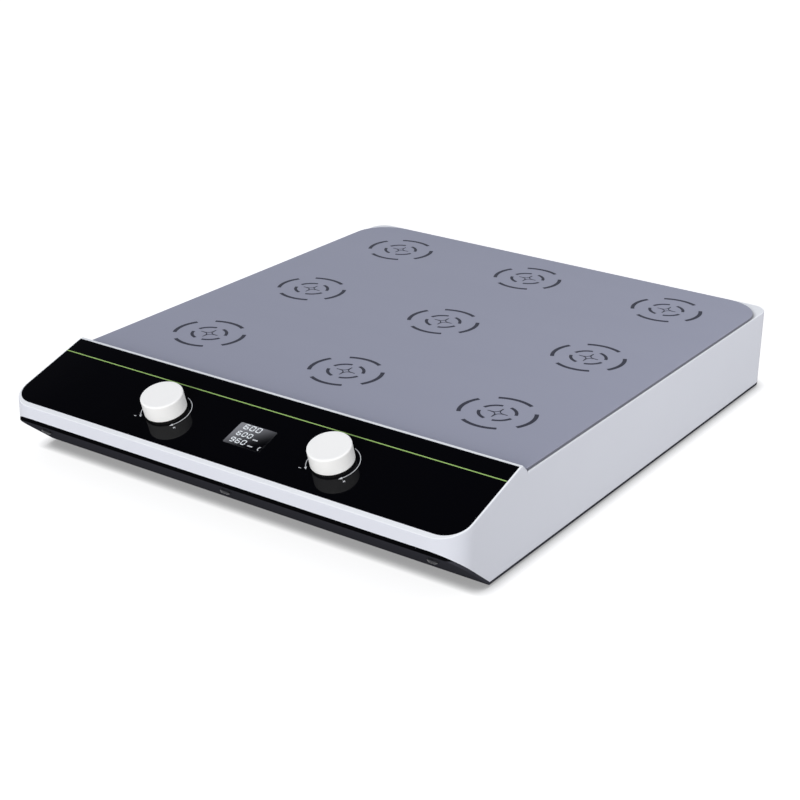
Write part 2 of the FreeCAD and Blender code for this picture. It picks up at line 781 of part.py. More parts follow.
def control_panel():
    """The panel glass, with holes for the encoder nuts and the cut-out for the display window."""
    glass = body("ControlPanel")
    plan = sketch_on(glass, "XY_Plane")
    corner = D["panel_gap"] * 2
    rounded(plan, -glass_half, glass_half, -D["panel_length"], dim(0), D["panel_radius"], corner)
    for x in knob_centres():
        circle(plan, x, knob_y, D["nut_hole"])
    x = D["display_offset"]
    across = D["display_width"] / 2 + D["panel_gap"]
    down = D["display_height"] / 2 + D["panel_gap"]
    rounded(plan, x - across, x + across, display_y - down, display_y + down, D["display_ledge"])
    pad(glass, plan, D["panel_thickness"])
    on_panel(glass, z=wall_top)
    node(glass, "control_panel")


def display_window():
    lens = body("DisplayWindow")
    plan = sketch_on(lens, "XY_Plane")
    across = D["display_width"] / 2
    down = D["display_height"] / 2
    rounded(plan, -across, across, -down, down, D["display_ledge"])
    pad(lens, plan, D["panel_thickness"])
    on_panel(lens, D["display_offset"], display_y, wall_top)
    node(lens, "display_window")


def display_module():
    """The digit display: a base on the board and a face block that rises into the window."""
    module = body("DisplayModule")
    base_height = D["encoder_height"] - D["seat_gap"]
    base = sketch_on(module, "XY_Plane")
    across = D["module_width"] / 2
    down = D["module_depth"] / 2
    rounded(base, -across, across, -down, down, D["display_ledge"])
    pad(module, base, base_height)
    face = sketch_on(module, "XY_Plane", base_height)
    inset = D["display_ledge"] + D["seat_gap"]
    across = D["display_width"] / 2 - inset
    down = D["display_height"] / 2 - inset
    rounded(face, -across, across, -down, down, D["display_ledge"])
    pad(module, face, D["wall"])
    on_panel(module, D["display_offset"], display_y, board_top)
    node(module, "display_module")


def control_board():
    board = body("ControlBoard")
    plan = sketch_on(board, "XY_Plane")
    across = D["board_width"] / 2
    down = D["board_depth"] / 2
    x = D["knob_offset"]
    rounded(plan, x - across, x + across, board_y - down, board_y + down, D["board_thickness"])
    for x, y in board_screws():
        circle(plan, x, y, D["screw_diameter"] + 2 * D["seat_gap"])
    pad(board, plan, D["board_thickness"])
    on_panel(board, z=board_under)
    node(board, "control_board")


def pan_screw(reach, name):
    """A pan-head screw: its head stands on the origin and its thread runs up from it."""
    screw = body(name)
    profile = sketch_on(screw, "XZ_Plane")
    shank = D["screw_diameter"] / 2
    head = D["screw_head"] / 2
    crown = D["head_height"] * -0.6
    polygon(
        profile,
        [
            (0, -D["head_height"]),
            (head * 0.6, -D["head_height"]),
            (head, crown),
            (head, 0),
            (shank, 0),
            (shank, reach),
            (0, reach),
        ],
    )
    revolve(screw, profile)
    return screw


def sunk_screw(reach, name):
    """A countersunk screw: the flat of its head lies on the origin and it runs up from there."""
    screw = body(name)
    profile = sketch_on(screw, "XZ_Plane")
    shank = D["screw_diameter"] / 2
    head = D["screw_head"] / 2
    polygon(profile, [(0, 0), (head, 0), (shank, head - shank), (shank, reach), (0, reach)])
    revolve(screw, profile)
    return screw


def cross_recess(screw, level):
    """Cuts the two crossed slots of a screwdriver's seat into the head, up from its face."""
    for long, short in ((D["cross_length"], D["cross_width"]), (D["cross_width"], D["cross_length"])):
        slots = sketch_on(screw, "XY_Plane", level)
        rounded(slots, -long / 2, long / 2, -short / 2, short / 2, D["cross_width"] / 8)
        pocket(screw, slots, D["cross_depth"], reverse=True)
    return screw


def control_board_screws():
    screw = pan_screw(D["board_thickness"] + D["encoder_height"] - D["seat_gap"], "BoardScrew")
    slope = D["panel_angle"]
    spots = []
    for x, y in board_screws():
        high_y = panel_y + y * cosine(slope) - board_under * sine(slope)
        high_z = ridge_z + y * sine(slope) + board_under * cosine(slope)
        spots.append(spot(x, high_y, high_z, slope.value))
    group(screw, spots, "control_board_screws")


# Encoders and knobs


def encoder_case(name, x):
    """A square case with the detent drum's chamber below and the threaded bush above."""
    case = body(name)
    base = sketch_on(case, "XY_Plane")
    side = D["encoder_width"] / 2
    rounded(base, -side, side, -side, side, D["seat_gap"])
    pad(case, base, D["encoder_height"])
    bush = sketch_on(case, "XY_Plane", D["encoder_height"])
    circle(bush, 0, 0, D["bush_diameter"])
    pad(case, bush, D["wall"] + D["panel_thickness"])
    bore = sketch_on(case, "XY_Plane", dim(0))
    circle(bore, 0, 0, D["shaft_diameter"] + 2 * D["running_fit"])
    pocket(case, bore, reverse=True)
    chamber = sketch_on(case, "XY_Plane", dim(0))
    circle(chamber, 0, 0, D["detent_diameter"] + 2 * D["running_fit"])
    pocket(case, chamber, D["detent_height"] + 2 * D["seat_gap"], reverse=True)
    on_panel(case, x, knob_y, board_top)
    node(case, name)


def encoder_nuts():
    nut = doc.addObject("Part::Prism", "NutBlank")
    nut.Polygon = 6
    across = D["nut_width"] / math.sqrt(3)
    nut.Circumradius = across.value
    nut.setExpression("Circumradius", across.formula)
    nut.Height = D["nut_height"].value
    nut.setExpression("Height", D["nut_height"].formula)
    bore = rod(D["bush_diameter"] + 2 * D["running_fit"], D["nut_height"], "NutBore")
    hexagon = cut(nut, bore, "EncoderNut")
    slope = D["panel_angle"]
    spots = []
    for x in knob_centres():
        high_y = panel_y + knob_y * cosine(slope) - wall_top * sine(slope)
        high_z = ridge_z + knob_y * sine(slope) + wall_top * cosine(slope)
        spots.append(spot(x, high_y, high_z, slope.value))
    group(hexagon, spots, "encoder_nuts")


def detent_drum(name, x):
    """The drum that turns with the knob and clicks round inside the encoder."""
    drum = body(name)
    ring = sketch_on(drum, "XY_Plane")
    circle(ring, 0, 0, D["detent_diameter"])
    circle(ring, 0, 0, D["shaft_diameter"] + 2 * D["running_fit"])
    pad(drum, ring, D["detent_height"])
    on_panel(drum, x, knob_y, board_top + D["seat_gap"])
    node(drum, name)


def knob_shaft(name, x):
    """The encoder shaft, flat on one side where the knob grips it."""
    shaft = body(name)
    low = D["press_travel"] + D["seat_gap"]
    top = -board_top + D["knob_gap"] + D["knob_height"] - D["knob_skin"] - D["seat_gap"]
    round_bar = sketch_on(shaft, "XY_Plane", low)
    circle(round_bar, 0, 0, D["shaft_diameter"])
    pad(shaft, round_bar, top - low)
    grip = -board_top + D["knob_gap"] + D["press_travel"]
    flat = sketch_on(shaft, "XY_Plane", grip)
    face = D["shaft_diameter"] / 2 - D["shaft_flat"]
    outside = D["shaft_diameter"]
    polygon(flat, [(-outside, face), (outside, face), (outside, outside), (-outside, outside)])
    pocket(shaft, flat, reverse=True)
    on_panel(shaft, x, knob_y, board_top)
    node(shaft, name)


def knob(name, x):
    """A turned cap: skirt, top wall and a hub whose bore has the shaft's flat."""
    cap = body(name)
    profile = sketch_on(cap, "XZ_Plane")
    outer = D["knob_diameter"] / 2
    inner = outer - D["knob_skin"]
    hub = D["hub_diameter"] / 2
    height = D["knob_height"]
    roof = height - D["knob_skin"]
    hub_low = D["press_travel"]
    polygon(
        profile,
        [
            (0, height),
            (outer, height),
            (outer, 0),
            (inner, 0),
            (inner, roof),
            (hub, roof),
            (hub, hub_low),
            (0, hub_low),
        ],
    )
    revolve(cap, profile)
    bore = sketch_on(cap, "XY_Plane", hub_low)
    shaft_radius = D["shaft_diameter"] / 2 + D["running_fit"]
    face = D["shaft_diameter"] / 2 - D["shaft_flat"] + D["running_fit"]
    reach = root(shaft_radius * shaft_radius - face * face)
    start = math.atan2(face.value, -reach.value)
    end = math.atan2(face.value, reach.value) + 2 * math.pi
    full = Part.Circle(Vector(0, 0, 0), Vector(0, 0, 1), shaft_radius.value)
    bore.addGeometry(Part.ArcOfCircle(full, start, end), False)
    bore.addGeometry(Part.LineSegment(bore.getPoint(0, 2), bore.getPoint(0, 1)), False)
    bore.addConstraint(Sketcher.Constraint("Coincident", 0, 2, 1, 1))
    bore.addConstraint(Sketcher.Constraint("Coincident", 1, 2, 0, 1))
    bore.addConstraint(Sketcher.Constraint("Horizontal", 1))
    hold_point(bore, 0, 3, 0, 0)
    hold(bore, "Radius", 0, size=shaft_radius)
    hold(bore, "DistanceY", -1, 1, 1, 1, size=face)
    pocket(cap, bore, roof - hub_low, reverse=True)
    rim = height.value
    edge = outer.value
    rounding(
        cap,
        D["knob_edge_radius"],
        lambda middle, item: abs(middle.z - rim) < 1e-4 and abs(math.hypot(middle.x, middle.y) - edge) < 1e-3,
    )
    on_panel(cap, x, knob_y, D["knob_gap"])
    node(cap, name)


def knob_set():
    for name, x in zip(("time", "speed"), knob_centres()):
        encoder_case(f"{name}_encoder", x)
        detent_drum(f"{name}_detent_drum", x)
        knob_shaft(f"{name}_shaft", x)
        knob(f"{name}_knob", x)
    encoder_nuts()


# Base tray


def tray_plan():
    """Bent sheet: flat underside, slanted front, and the locating rim inside the shell."""
    tray = body("TrayPlate")
    plan = sketch_on(tray, "XY_Plane", D["foot_height"])
    footprint(plan, dim(0))
    pad(tray, plan, D["undercut_height"] - D["foot_height"])
    behind = back_y + CLEAR
    before = front_y - CLEAR
    over = D["undercut_height"] + CLEAR
    under = D["foot_height"] - CLEAR
    above = sketch_on(tray, "YZ_Plane")
    inner_line = [(behind, tray_top), (bend_y, tray_top), (before, slant_z(before))]
    polygon(above, inner_line + [(before, over), (behind, over)])
    pocket(tray, above, symmetric=True)
    thick = D["sheet_thickness"] * slant_run
    outer_bend = bend_y - (thick - D["sheet_thickness"]) / slant
    below = sketch_on(tray, "YZ_Plane")
    outer_line = [(outer_bend, D["foot_height"]), (before, slant_z(before) - thick)]
    polygon(below, outer_line + [(before, under), (outer_bend, under)])
    pocket(tray, below, symmetric=True)
    return tray


def tray_rim(tray):
    rim = sketch_on(tray, "XY_Plane", tray_top)
    outside = D["wall"] + D["seat_gap"]
    for inset in (outside, outside + D["rim_thickness"]):
        rounded(
            rim,
            -half_width + inset,
            half_width - inset,
            bend_y + inset,
            back_y - inset,
            D["front_radius"] / 2,
            D["back_radius"] - inset,
        )
    pad(tray, rim, D["rim_height"])
    pads = sketch_on(tray, "XY_Plane", tray_top)
    for x, y in screw_rows():
        circle(pads, x, y, D["pad_diameter"])
    pad(tray, pads, D["rim_height"])
    posts = sketch_on(tray, "XY_Plane", tray_top)
    for x, y in power_posts():
        circle(posts, x, y, D["post_diameter"])
    pad(tray, posts, D["board_lift"])
    pilots = sketch_on(tray, "XY_Plane", tray_top + D["board_lift"])
    for x, y in power_posts():
        circle(pilots, x, y, D["screw_diameter"] + 2 * D["running_fit"])
    pocket(tray, pilots, D["board_lift"] / 2 + D["seat_gap"])


def tray_openings(tray):
    holes = sketch_on(tray, "XY_Plane", D["foot_height"])
    hole = D["screw_diameter"] + 2 * D["seat_gap"]
    for x, y in screw_rows():
        circle(holes, x, y, hole)
    pocket(tray, holes, reverse=True)
    countersink(tray, (D["screw_head"] + 2 * D["seat_gap"] - hole) / 2, D["foot_height"], hole)
    for row in (-1, 1):
        field = sketch_on(tray, "XY_Plane", D["foot_height"])
        middle = place_y + row * D["place_pitch"] / 2
        start = -(D["vent_count"] - 1) * D["vent_pitch"] / 2
        half = D["vent_width"] / 2
        long = D["vent_length"] / 2
        rounded(field, start - half, start + half, middle - long, middle + long, half * 0.9)
        slots = pocket(tray, field, reverse=True)
        pattern = tray.newObject("PartDesign::LinearPattern", "Vents")
        pattern.Originals = [slots]
        pattern.Direction = (field, ["H_Axis"])
        length = (D["vent_count"] - 1) * D["vent_pitch"]
        pattern.Length = length.value
        pattern.setExpression("Length", length.formula)
        pattern.Occurrences = round(D["vent_count"].value)
        pattern.setExpression("Occurrences", D["vent_count"].formula)
        tray.Tip = pattern


def base_tray():
    tray = tray_plan()
    tray_rim(tray)
    tray_openings(tray)
    drills = []
    depth = D["sheet_thickness"] + 2 * CLEAR
    angle = slant_angle()
    for x, y, z in front_screw_spots():
        drill = rod(D["screw_diameter"] + 2 * D["seat_gap"], depth, "Drill")
        back = D["sheet_thickness"] + CLEAR
        drills.append(place(drill, x, y - back * slant / slant_run, z - back / slant_run, turn=angle))
    node(cut(tray, fuse(drills, "TrayDrills"), "BaseTray"), "base_tray")


def rubber_feet():
    foot = body("Foot")
    disc = sketch_on(foot, "XY_Plane")
    circle(disc, 0, 0, D["foot_diameter"])
    pad(foot, disc, D["foot_height"])
    inset = D["foot_inset"]
    rows = (bend_y + inset, back_y - inset)
    sides = (-half_width + inset, half_width - inset)
    group(foot, [spot(x, y, 0) for y in rows for x in sides], "rubber_feet")


def base_screws():
    """Countersunk screws, flush with the tray's underside."""
    screw = sunk_screw(D["sheet_thickness"] + D["rim_height"] + D["screw_reach"], "BaseScrew")
    cross_recess(screw, dim(0))
    group(screw, [spot(x, y, D["foot_height"]) for x, y in screw_rows()], "base_screws")


def front_screws():
    screw = pan_screw(D["sheet_thickness"] + D["front_screw_reach"], "FrontScrew")
    cross_recess(screw, -D["head_height"])
    spots = []
    back = D["sheet_thickness"]
    angle = slant_angle().value
    for x, y, z in front_screw_spots():
        spots.append(spot(x, y - back * slant / slant_run, z - back / slant_run, angle))
    group(screw, spots, "front_screws")


# Stirring drives


def motor_screw_holes(sketch, x, y, diameter):
    for side in (-1, 1):
        circle(sketch, x, y + side * D["screw_pitch"] / 2, diameter)


def pillar_spots():
    """Hexagon pillars: four between the places and four further out."""
    near = D["place_pitch"] / 2
    far = D["place_pitch"] + D["motor_plate_margin"] - D["pillar_margin"]
    return [
        (column * reach, place_y + row * near)
        for column in (-1, 1)
        for reach in (near, far)
        for row in (-1, 1)
    ]


def motor_plate():
    """The square sheet that carries the nine motors."""
    sheet = body("MotorPlate")
    plan = sketch_on(sheet, "XY_Plane")
    half = D["place_pitch"] + D["motor_plate_margin"]
    rounded(plan, -half, half, place_y - half, place_y + half, D["back_radius"])
    for column, row in PLACES:
        x = column * D["place_pitch"]
        y = place_y + row * D["place_pitch"]
        circle(plan, x, y, D["motor_boss"] + 2 * D["seat_gap"])
        motor_screw_holes(plan, x, y, D["screw_diameter"] + 2 * D["running_fit"])
    for x, y in pillar_spots():
        circle(plan, x, y, D["screw_diameter"] + 2 * D["running_fit"])
    pad(sheet, plan, D["sheet_thickness"])
    place(sheet, z=motor_top)
    node(sheet, "motor_plate")


def plate_pillars():
    pillar = doc.addObject("Part::Prism", "PillarBlank")
    pillar.Polygon = 6
    across = D["pillar_width"] / math.sqrt(3)
    pillar.Circumradius = across.value
    pillar.setExpression("Circumradius", across.formula)
    height = motor_top - tray_top
    pillar.Height = height.value
    pillar.setExpression("Height", height.formula)
    depth = D["screw_reach"] + D["seat_gap"]
    bore = place(rod(D["screw_diameter"] + 2 * D["running_fit"], depth), z=height - depth)
    bored = cut(pillar, bore, "Pillar")
    group(bored, [spot(x, y, tray_top) for x, y in pillar_spots()], "plate_pillars")


def pillar_screws():
    screw = pan_screw(D["sheet_thickness"] + D["screw_reach"], "PillarScrew")
    group(screw, [spot(x, y, plate_top, 180.0) for x, y in pillar_spots()], "pillar_screws")


def motor(name, x, y):
    """A round can with a bearing boss, bored for its shaft and tapped for two screws."""
    can = body(name)
    profile = sketch_on(can, "XZ_Plane")
    outer = D["motor_diameter"] / 2
    boss = D["motor_boss"] / 2
    bore = D["motor_shaft"] / 2 + D["running_fit"]
    top = D["motor_height"] + D["boss_height"]
    floor = top - D["shaft_depth"]
    polygon(
        profile,
        [
            (0, 0),
            (outer, 0),
            (outer, D["motor_height"]),
            (boss, D["motor_height"]),
            (boss, top),
            (bore, top),
            (bore, floor),
            (0, floor),
        ],
    )
    revolve(can, profile)
    taps = sketch_on(can, "XY_Plane", D["motor_height"])
    motor_screw_holes(taps, dim(0), dim(0), D["screw_diameter"] + 2 * D["running_fit"])
    pocket(can, taps, D["screw_reach"] / 2)
    place(can, x, y, motor_top - D["motor_height"])
    node(can, name)


def magnet_carrier(name, x, y):
    """A bar with round ends on the motor shaft, with a pocket for a magnet near each end."""
    carrier = body(name)
    bar = sketch_on(carrier, "XY_Plane")
    slot(bar, D["carrier_length"], D["carrier_width"])
    pad(carrier, bar, D["carrier_thickness"])
    hub = sketch_on(carrier, "XY_Plane", -D["hub_height"])
    circle(hub, 0, 0, D["carrier_hub"])
    pad(carrier, hub, D["hub_height"])
    low = D["hub_height"] + D["shaft_depth"]
    axle = sketch_on(carrier, "XY_Plane", -low)
    circle(axle, 0, 0, D["motor_shaft"])
    pad(carrier, axle, low)
    pockets = sketch_on(carrier, "XY_Plane", D["carrier_thickness"])
    for side in (-1, 1):
        circle(pockets, side * D["magnet_pitch"] / 2, 0, D["magnet_diameter"] + 2 * D["running_fit"])
    pocket(carrier, pockets, D["magnet_height"])
    place(carrier, x, y, carrier_under)
    node(carrier, name)


def magnet_pair(name, x, y):
    magnet = rod(D["magnet_diameter"], D["magnet_height"], "Magnet")
    low = carrier_top - D["magnet_height"]
    spots = [spot(x + side * D["magnet_pitch"] / 2, y, low) for side in (-1, 1)]
    group(magnet, spots, name)


def stirring_places():
    screws = []
    for number, (column, row) in enumerate(PLACES, start=1):
        x = column * D["place_pitch"]
        y = place_y + row * D["place_pitch"]
        motor(f"motor_{number}", x, y)
        magnet_carrier(f"magnet_carrier_{number}", x, y)
        magnet_pair(f"magnets_{number}", x, y)
        for side in (-1, 1):
            screws.append(spot(x, y + side * D["screw_pitch"] / 2, plate_top, 180.0))
    screw = pan_screw(D["sheet_thickness"] + D["screw_reach"] / 2 - D["seat_gap"], "MotorScrew")
    group(screw, screws, "motor_screws")


# Power parts


def power_boards():
    """Left edge, width and middle Y of the supply board and the driver board."""
    middle = D["knob_offset"]
    y = bend_y + D["wall"] * 4 + D["supply_depth"] / 2
    half = D["board_split"] / 2
    return [(middle - half - D["supply_width"], D["supply_width"], y), (middle + half, D["driver_width"], y)]


def board_corners(left, width, y):
    """Screw centres near the four corners of one board."""
    down = D["supply_depth"] / 2 - D["board_margin"]
    ends = (left + D["board_margin"], left + width - D["board_margin"])
    return [(x, y + side * down) for x in ends for side in (-1, 1)]


def power_posts():
    """The tray posts under the two boards."""
    return [spot for board in power_boards() for spot in board_corners(*board)]


def board_with(name, left, width, y, parts):
    """A circuit board on its tray posts, with a row of blocks and cans that stand on it."""
    low = tray_top + D["board_lift"]
    top = low + D["board_thickness"]
    half = D["supply_depth"] / 2
    pieces = [box(left, left + width, y - half, y + half, low, top, f"{name}_board")]
    x = left + 2 * D["board_margin"]
    for part in parts:
        tall = D[f"{part}_height"]
        if part == "capacitor":
            across = D[f"{part}_diameter"]
            pieces.append(place(rod(across, tall, f"{name}_can"), x + across / 2, y, top))
        else:
            across = D[f"{part}_width"]
            deep = D[f"{part}_depth"] / 2 if f"{part}_depth" in D else across / 2
            pieces.append(box(x, x + across, y - deep, y + deep, top, top + tall))
        x = x + across + D["part_gap"]
    drills = []
    for x, hole_y in board_corners(left, width, y):
        drill = rod(D["screw_diameter"] + 2 * D["seat_gap"], D["board_thickness"] + CLEAR, "Drill")
        drills.append(place(drill, x, hole_y, low - dim(CLEAR) / 2))
    node(cut(fuse(pieces, f"{name}_parts"), fuse(drills, f"{name}_drills"), name), name)


def power_electronics():
    supply, driver = power_boards()
    board_with("power_supply", *supply, ["filter", "capacitor", "transformer", "heatsink"])
    board_with("motor_driver", *driver, ["chip", "header", "header"])


def power_board_screws():
    """Screws down through both boards into the tray posts."""
    screw = pan_screw(D["board_thickness"] + D["board_lift"] / 2, "PowerScrew")
    top = tray_top + D["board_lift"] + D["board_thickness"]
    group(screw, [spot(x, y, top, 180.0) for x, y in power_posts()], "power_board_screws")


def mains_inlet():
    """A three-pole appliance inlet: flange with two ears, body and socket, open to the back."""
    inlet = body("MainsInlet")
    flange = sketch_on(inlet, "XY_Plane")
    wide = D["flange_width"] / 2
    tall = D["flange_height"] / 2
    rounded(flange, -wide, wide, -tall, tall, D["inlet_flange"] * 2)
    hole = D["screw_diameter"] + 2 * D["seat_gap"]
    for side in (-1, 1):
        circle(flange, side * D["inlet_screw_pitch"] / 2, 0, hole)
    pad(inlet, flange, D["inlet_flange"])
    countersink(inlet, (D["screw_head"] + 2 * D["seat_gap"] - hole) / 2, D["inlet_flange"], hole)
    shell = sketch_on(inlet, "XY_Plane", -D["inlet_depth"])
    wide = D["inlet_width"] / 2
    tall = D["inlet_height"] / 2
    rounded(shell, -wide, wide, -tall, tall, D["inlet_flange"])
    pad(inlet, shell, D["inlet_depth"])
    socket = sketch_on(inlet, "XY_Plane", D["inlet_flange"])
    wide = D["socket_width"] / 2
    tall = D["socket_height"] / 2
    slope = D["pin_step"]
    outline = [(-wide, tall), (wide, tall), (wide, slope - tall), (wide - slope, -tall)]
    polygon(socket, outline + [(slope - wide, -tall), (-wide, slope - tall)])
    pocket(inlet, socket, D["socket_depth"])
    place(inlet, D["inlet_x"], back_y, D["inlet_z"], turn=dim(-90))
    node(inlet, "mains_inlet")


def inlet_pins():
    """Three contact blades standing on the socket's floor."""
    floor = back_y + D["inlet_flange"] - D["socket_depth"]
    blades = [(0, D["pin_step"] / 2), (-D["pin_pitch"] / 2, -D["pin_step"] / 2)]
    blades.append((D["pin_pitch"] / 2, -D["pin_step"] / 2))
    blade = box(
        -D["pin_thickness"] / 2,
        D["pin_thickness"] / 2,
        0,
        D["pin_length"],
        -D["pin_width"] / 2,
        D["pin_width"] / 2,
        "Blade",
    )
    spots = [spot(D["inlet_x"] + x, floor, D["inlet_z"] + z) for x, z in blades]
    group(blade, spots, "inlet_pins")


def inlet_screws():
    screw = sunk_screw(D["inlet_flange"] + D["wall"], "InletScrew")
    cross_recess(screw, dim(0))
    face = back_y + D["inlet_flange"]
    spots = []
    for side in (-1, 1):
        x = D["inlet_x"] + side * D["inlet_screw_pitch"] / 2
        spots.append(spot(x, face, D["inlet_z"], 90.0))
    group(screw, spots, "inlet_screws")


def switch_frame():
    """Bezel and body of the rocker switch, open to the back for the rocker."""
    frame = body("SwitchFrame")
    bezel = sketch_on(frame, "XY_Plane")
    wide = D["switch_width"] / 2
    tall = D["switch_height"] / 2
    rounded(bezel, -wide, wide, -tall, tall, D["bezel_thickness"])
    pad(frame, bezel, D["bezel_thickness"])
    case = sketch_on(frame, "XY_Plane", -D["switch_depth"])
    wide = switch_body_width / 2
    tall = switch_body_height / 2
    rounded(case, -wide, wide, -tall, tall, D["seat_gap"])
    pad(frame, case, D["switch_depth"])
    well = sketch_on(frame, "XY_Plane", D["bezel_thickness"])
    wide = D["rocker_width"] / 2 + D["seat_gap"]
    tall = D["rocker_height"] / 2 + D["seat_gap"]
    rounded(well, -wide, wide, -tall, tall, D["seat_gap"])
    pocket(frame, well, rocker_well)
    place(frame, D["switch_x"], back_y, D["inlet_z"], turn=dim(-90))
    pivot = rod(D["pivot_diameter"] + 2 * D["running_fit"], D["rocker_width"] + 2 * pivot_reach)
    pivot.Placement = Placement(Vector(0, 0, 0), Rotation(Vector(0, 1, 0), 90))
    left = D["switch_x"] - D["rocker_width"] / 2 - pivot_reach
    for axis, size in (("x", left), ("y", pivot_y), ("z", D["inlet_z"])):
        pivot.setExpression(f"Placement.Base.{axis}", size.formula)
    node(cut(frame, pivot, "SwitchFrameBored"), "switch_frame")


# The rocker's pivot lies a little inside the back wall's outer face
rocker_well = D["rocker_height"] / 2 + D["bezel_thickness"]
pivot_y = back_y - D["bezel_thickness"]
pivot_reach = D["bezel_thickness"] / 3
rocker_half = D["rocker_height"] / 2
rocker_tip = rocker_half - 3 * D["seat_gap"]
rocker_rise = rocker_half * sine(D["rocker_angle"]) / cosine(D["rocker_angle"])
rocker_out = D["rocker_proud"] + D["bezel_thickness"] - rocker_tip * sine(D["rocker_angle"])
rocker_face = rocker_out / cosine(D["rocker_angle"])


def switch_rocker():
    """The rocker: a shallow V of two pads on a rounded keel, with its pivot pins, leaning off."""
    rocker = body("RockerBlock")
    side = sketch_on(rocker, "YZ_Plane", -D["rocker_width"] / 2)
    keel = D["pivot_diameter"]
    polygon(
        side,
        [
            (rocker_face - rocker_rise, 0),
            (rocker_face, rocker_tip),
            (0, rocker_half - D["seat_gap"]),
            (-keel, keel),
            (-keel, -keel),
            (0, D["seat_gap"] - rocker_half),
            (rocker_face, -rocker_tip),
        ],
    )
    pad(rocker, side, D["rocker_width"])
    pins = sketch_on(rocker, "YZ_Plane", -D["rocker_width"] / 2 - pivot_reach + D["running_fit"])
    circle(pins, 0, 0, D["pivot_diameter"])
    pad(rocker, pins, D["rocker_width"] + 2 * pivot_reach - 2 * D["running_fit"])
    place(rocker, D["switch_x"], pivot_y, D["inlet_z"], turn=D["rocker_angle"])
    node(rocker, "switch_rocker")


# The whole stirrer


def build():
    housing_shell()
    top_plate()
    control_panel()
    display_window()
    display_module()
    control_board()
    control_board_screws()
    knob_set()
    base_tray()
    rubber_feet()
    base_screws()
    front_screws()
    motor_plate()
    plate_pillars()
    pillar_screws()
    stirring_places()
    power_electronics()
    power_board_screws()
    mains_inlet()
    inlet_pins()
    inlet_screws()
    switch_frame()
    switch_rocker()
    doc.recompute()


def check():
    """Stops with a plain message if any object or sub-part is broken."""
    faults = [item.Name for item in doc.Objects if {"Invalid", "Error"} & set(item.State)]
    faults += [item.Label for item in NODES if item.Shape.isNull() or not item.Shape.isValid()]
    if faults:
        raise RuntimeError("broken objects: " + ", ".join(faults))


def write():
    os.makedirs("parts", exist_ok=True)
    for item in NODES:
        item.Shape.exportStep(f"parts/{item.Label}.step")
    print(len(NODES), "sub-parts written")


build()
check()
write()
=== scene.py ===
"""Looks of a nine-place magnetic stirrer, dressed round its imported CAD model.

Everything is in metres in the model's own frame: Z up from the bench, the sloping control panel
towards negative Y and the mains inlet towards positive Y. Angles are in degrees.
"""

import logging
import math
from collections.abc import Iterable, Sequence
from dataclasses import dataclass, field
from enum import Enum

import bmesh
import bpy
from mathutils import Matrix, Vector


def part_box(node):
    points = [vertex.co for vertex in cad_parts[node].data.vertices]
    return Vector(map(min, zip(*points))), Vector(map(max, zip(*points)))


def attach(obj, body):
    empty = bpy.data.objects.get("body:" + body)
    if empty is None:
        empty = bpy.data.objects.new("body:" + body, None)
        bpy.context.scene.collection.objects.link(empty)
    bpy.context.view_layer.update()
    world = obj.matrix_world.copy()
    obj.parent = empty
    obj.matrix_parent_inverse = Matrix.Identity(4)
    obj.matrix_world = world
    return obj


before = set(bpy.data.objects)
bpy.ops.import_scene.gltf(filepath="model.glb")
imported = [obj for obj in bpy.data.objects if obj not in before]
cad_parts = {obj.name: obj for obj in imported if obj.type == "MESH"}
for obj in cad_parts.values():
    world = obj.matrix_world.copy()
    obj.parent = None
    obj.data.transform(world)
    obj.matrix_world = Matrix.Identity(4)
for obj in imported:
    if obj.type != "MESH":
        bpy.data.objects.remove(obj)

LOG = logging.getLogger("stirrer")
MM = 0.001
PLACES = 9
QUARTER_TURN = 90.0

Colour = tuple[float, float, float]
Point = tuple[float, float]
Range = tuple[float, float]
Socket = bpy.types.NodeSocket
Number = float | Socket


class Space(Enum):
    """How a texture's coordinates are stretched over a surface."""

    EVEN = (1.0, 1.0, 1.0)
    ACROSS = (0.04, 1.0, 1.0)
    UPRIGHT = (1.0, 1.0, 0.04)


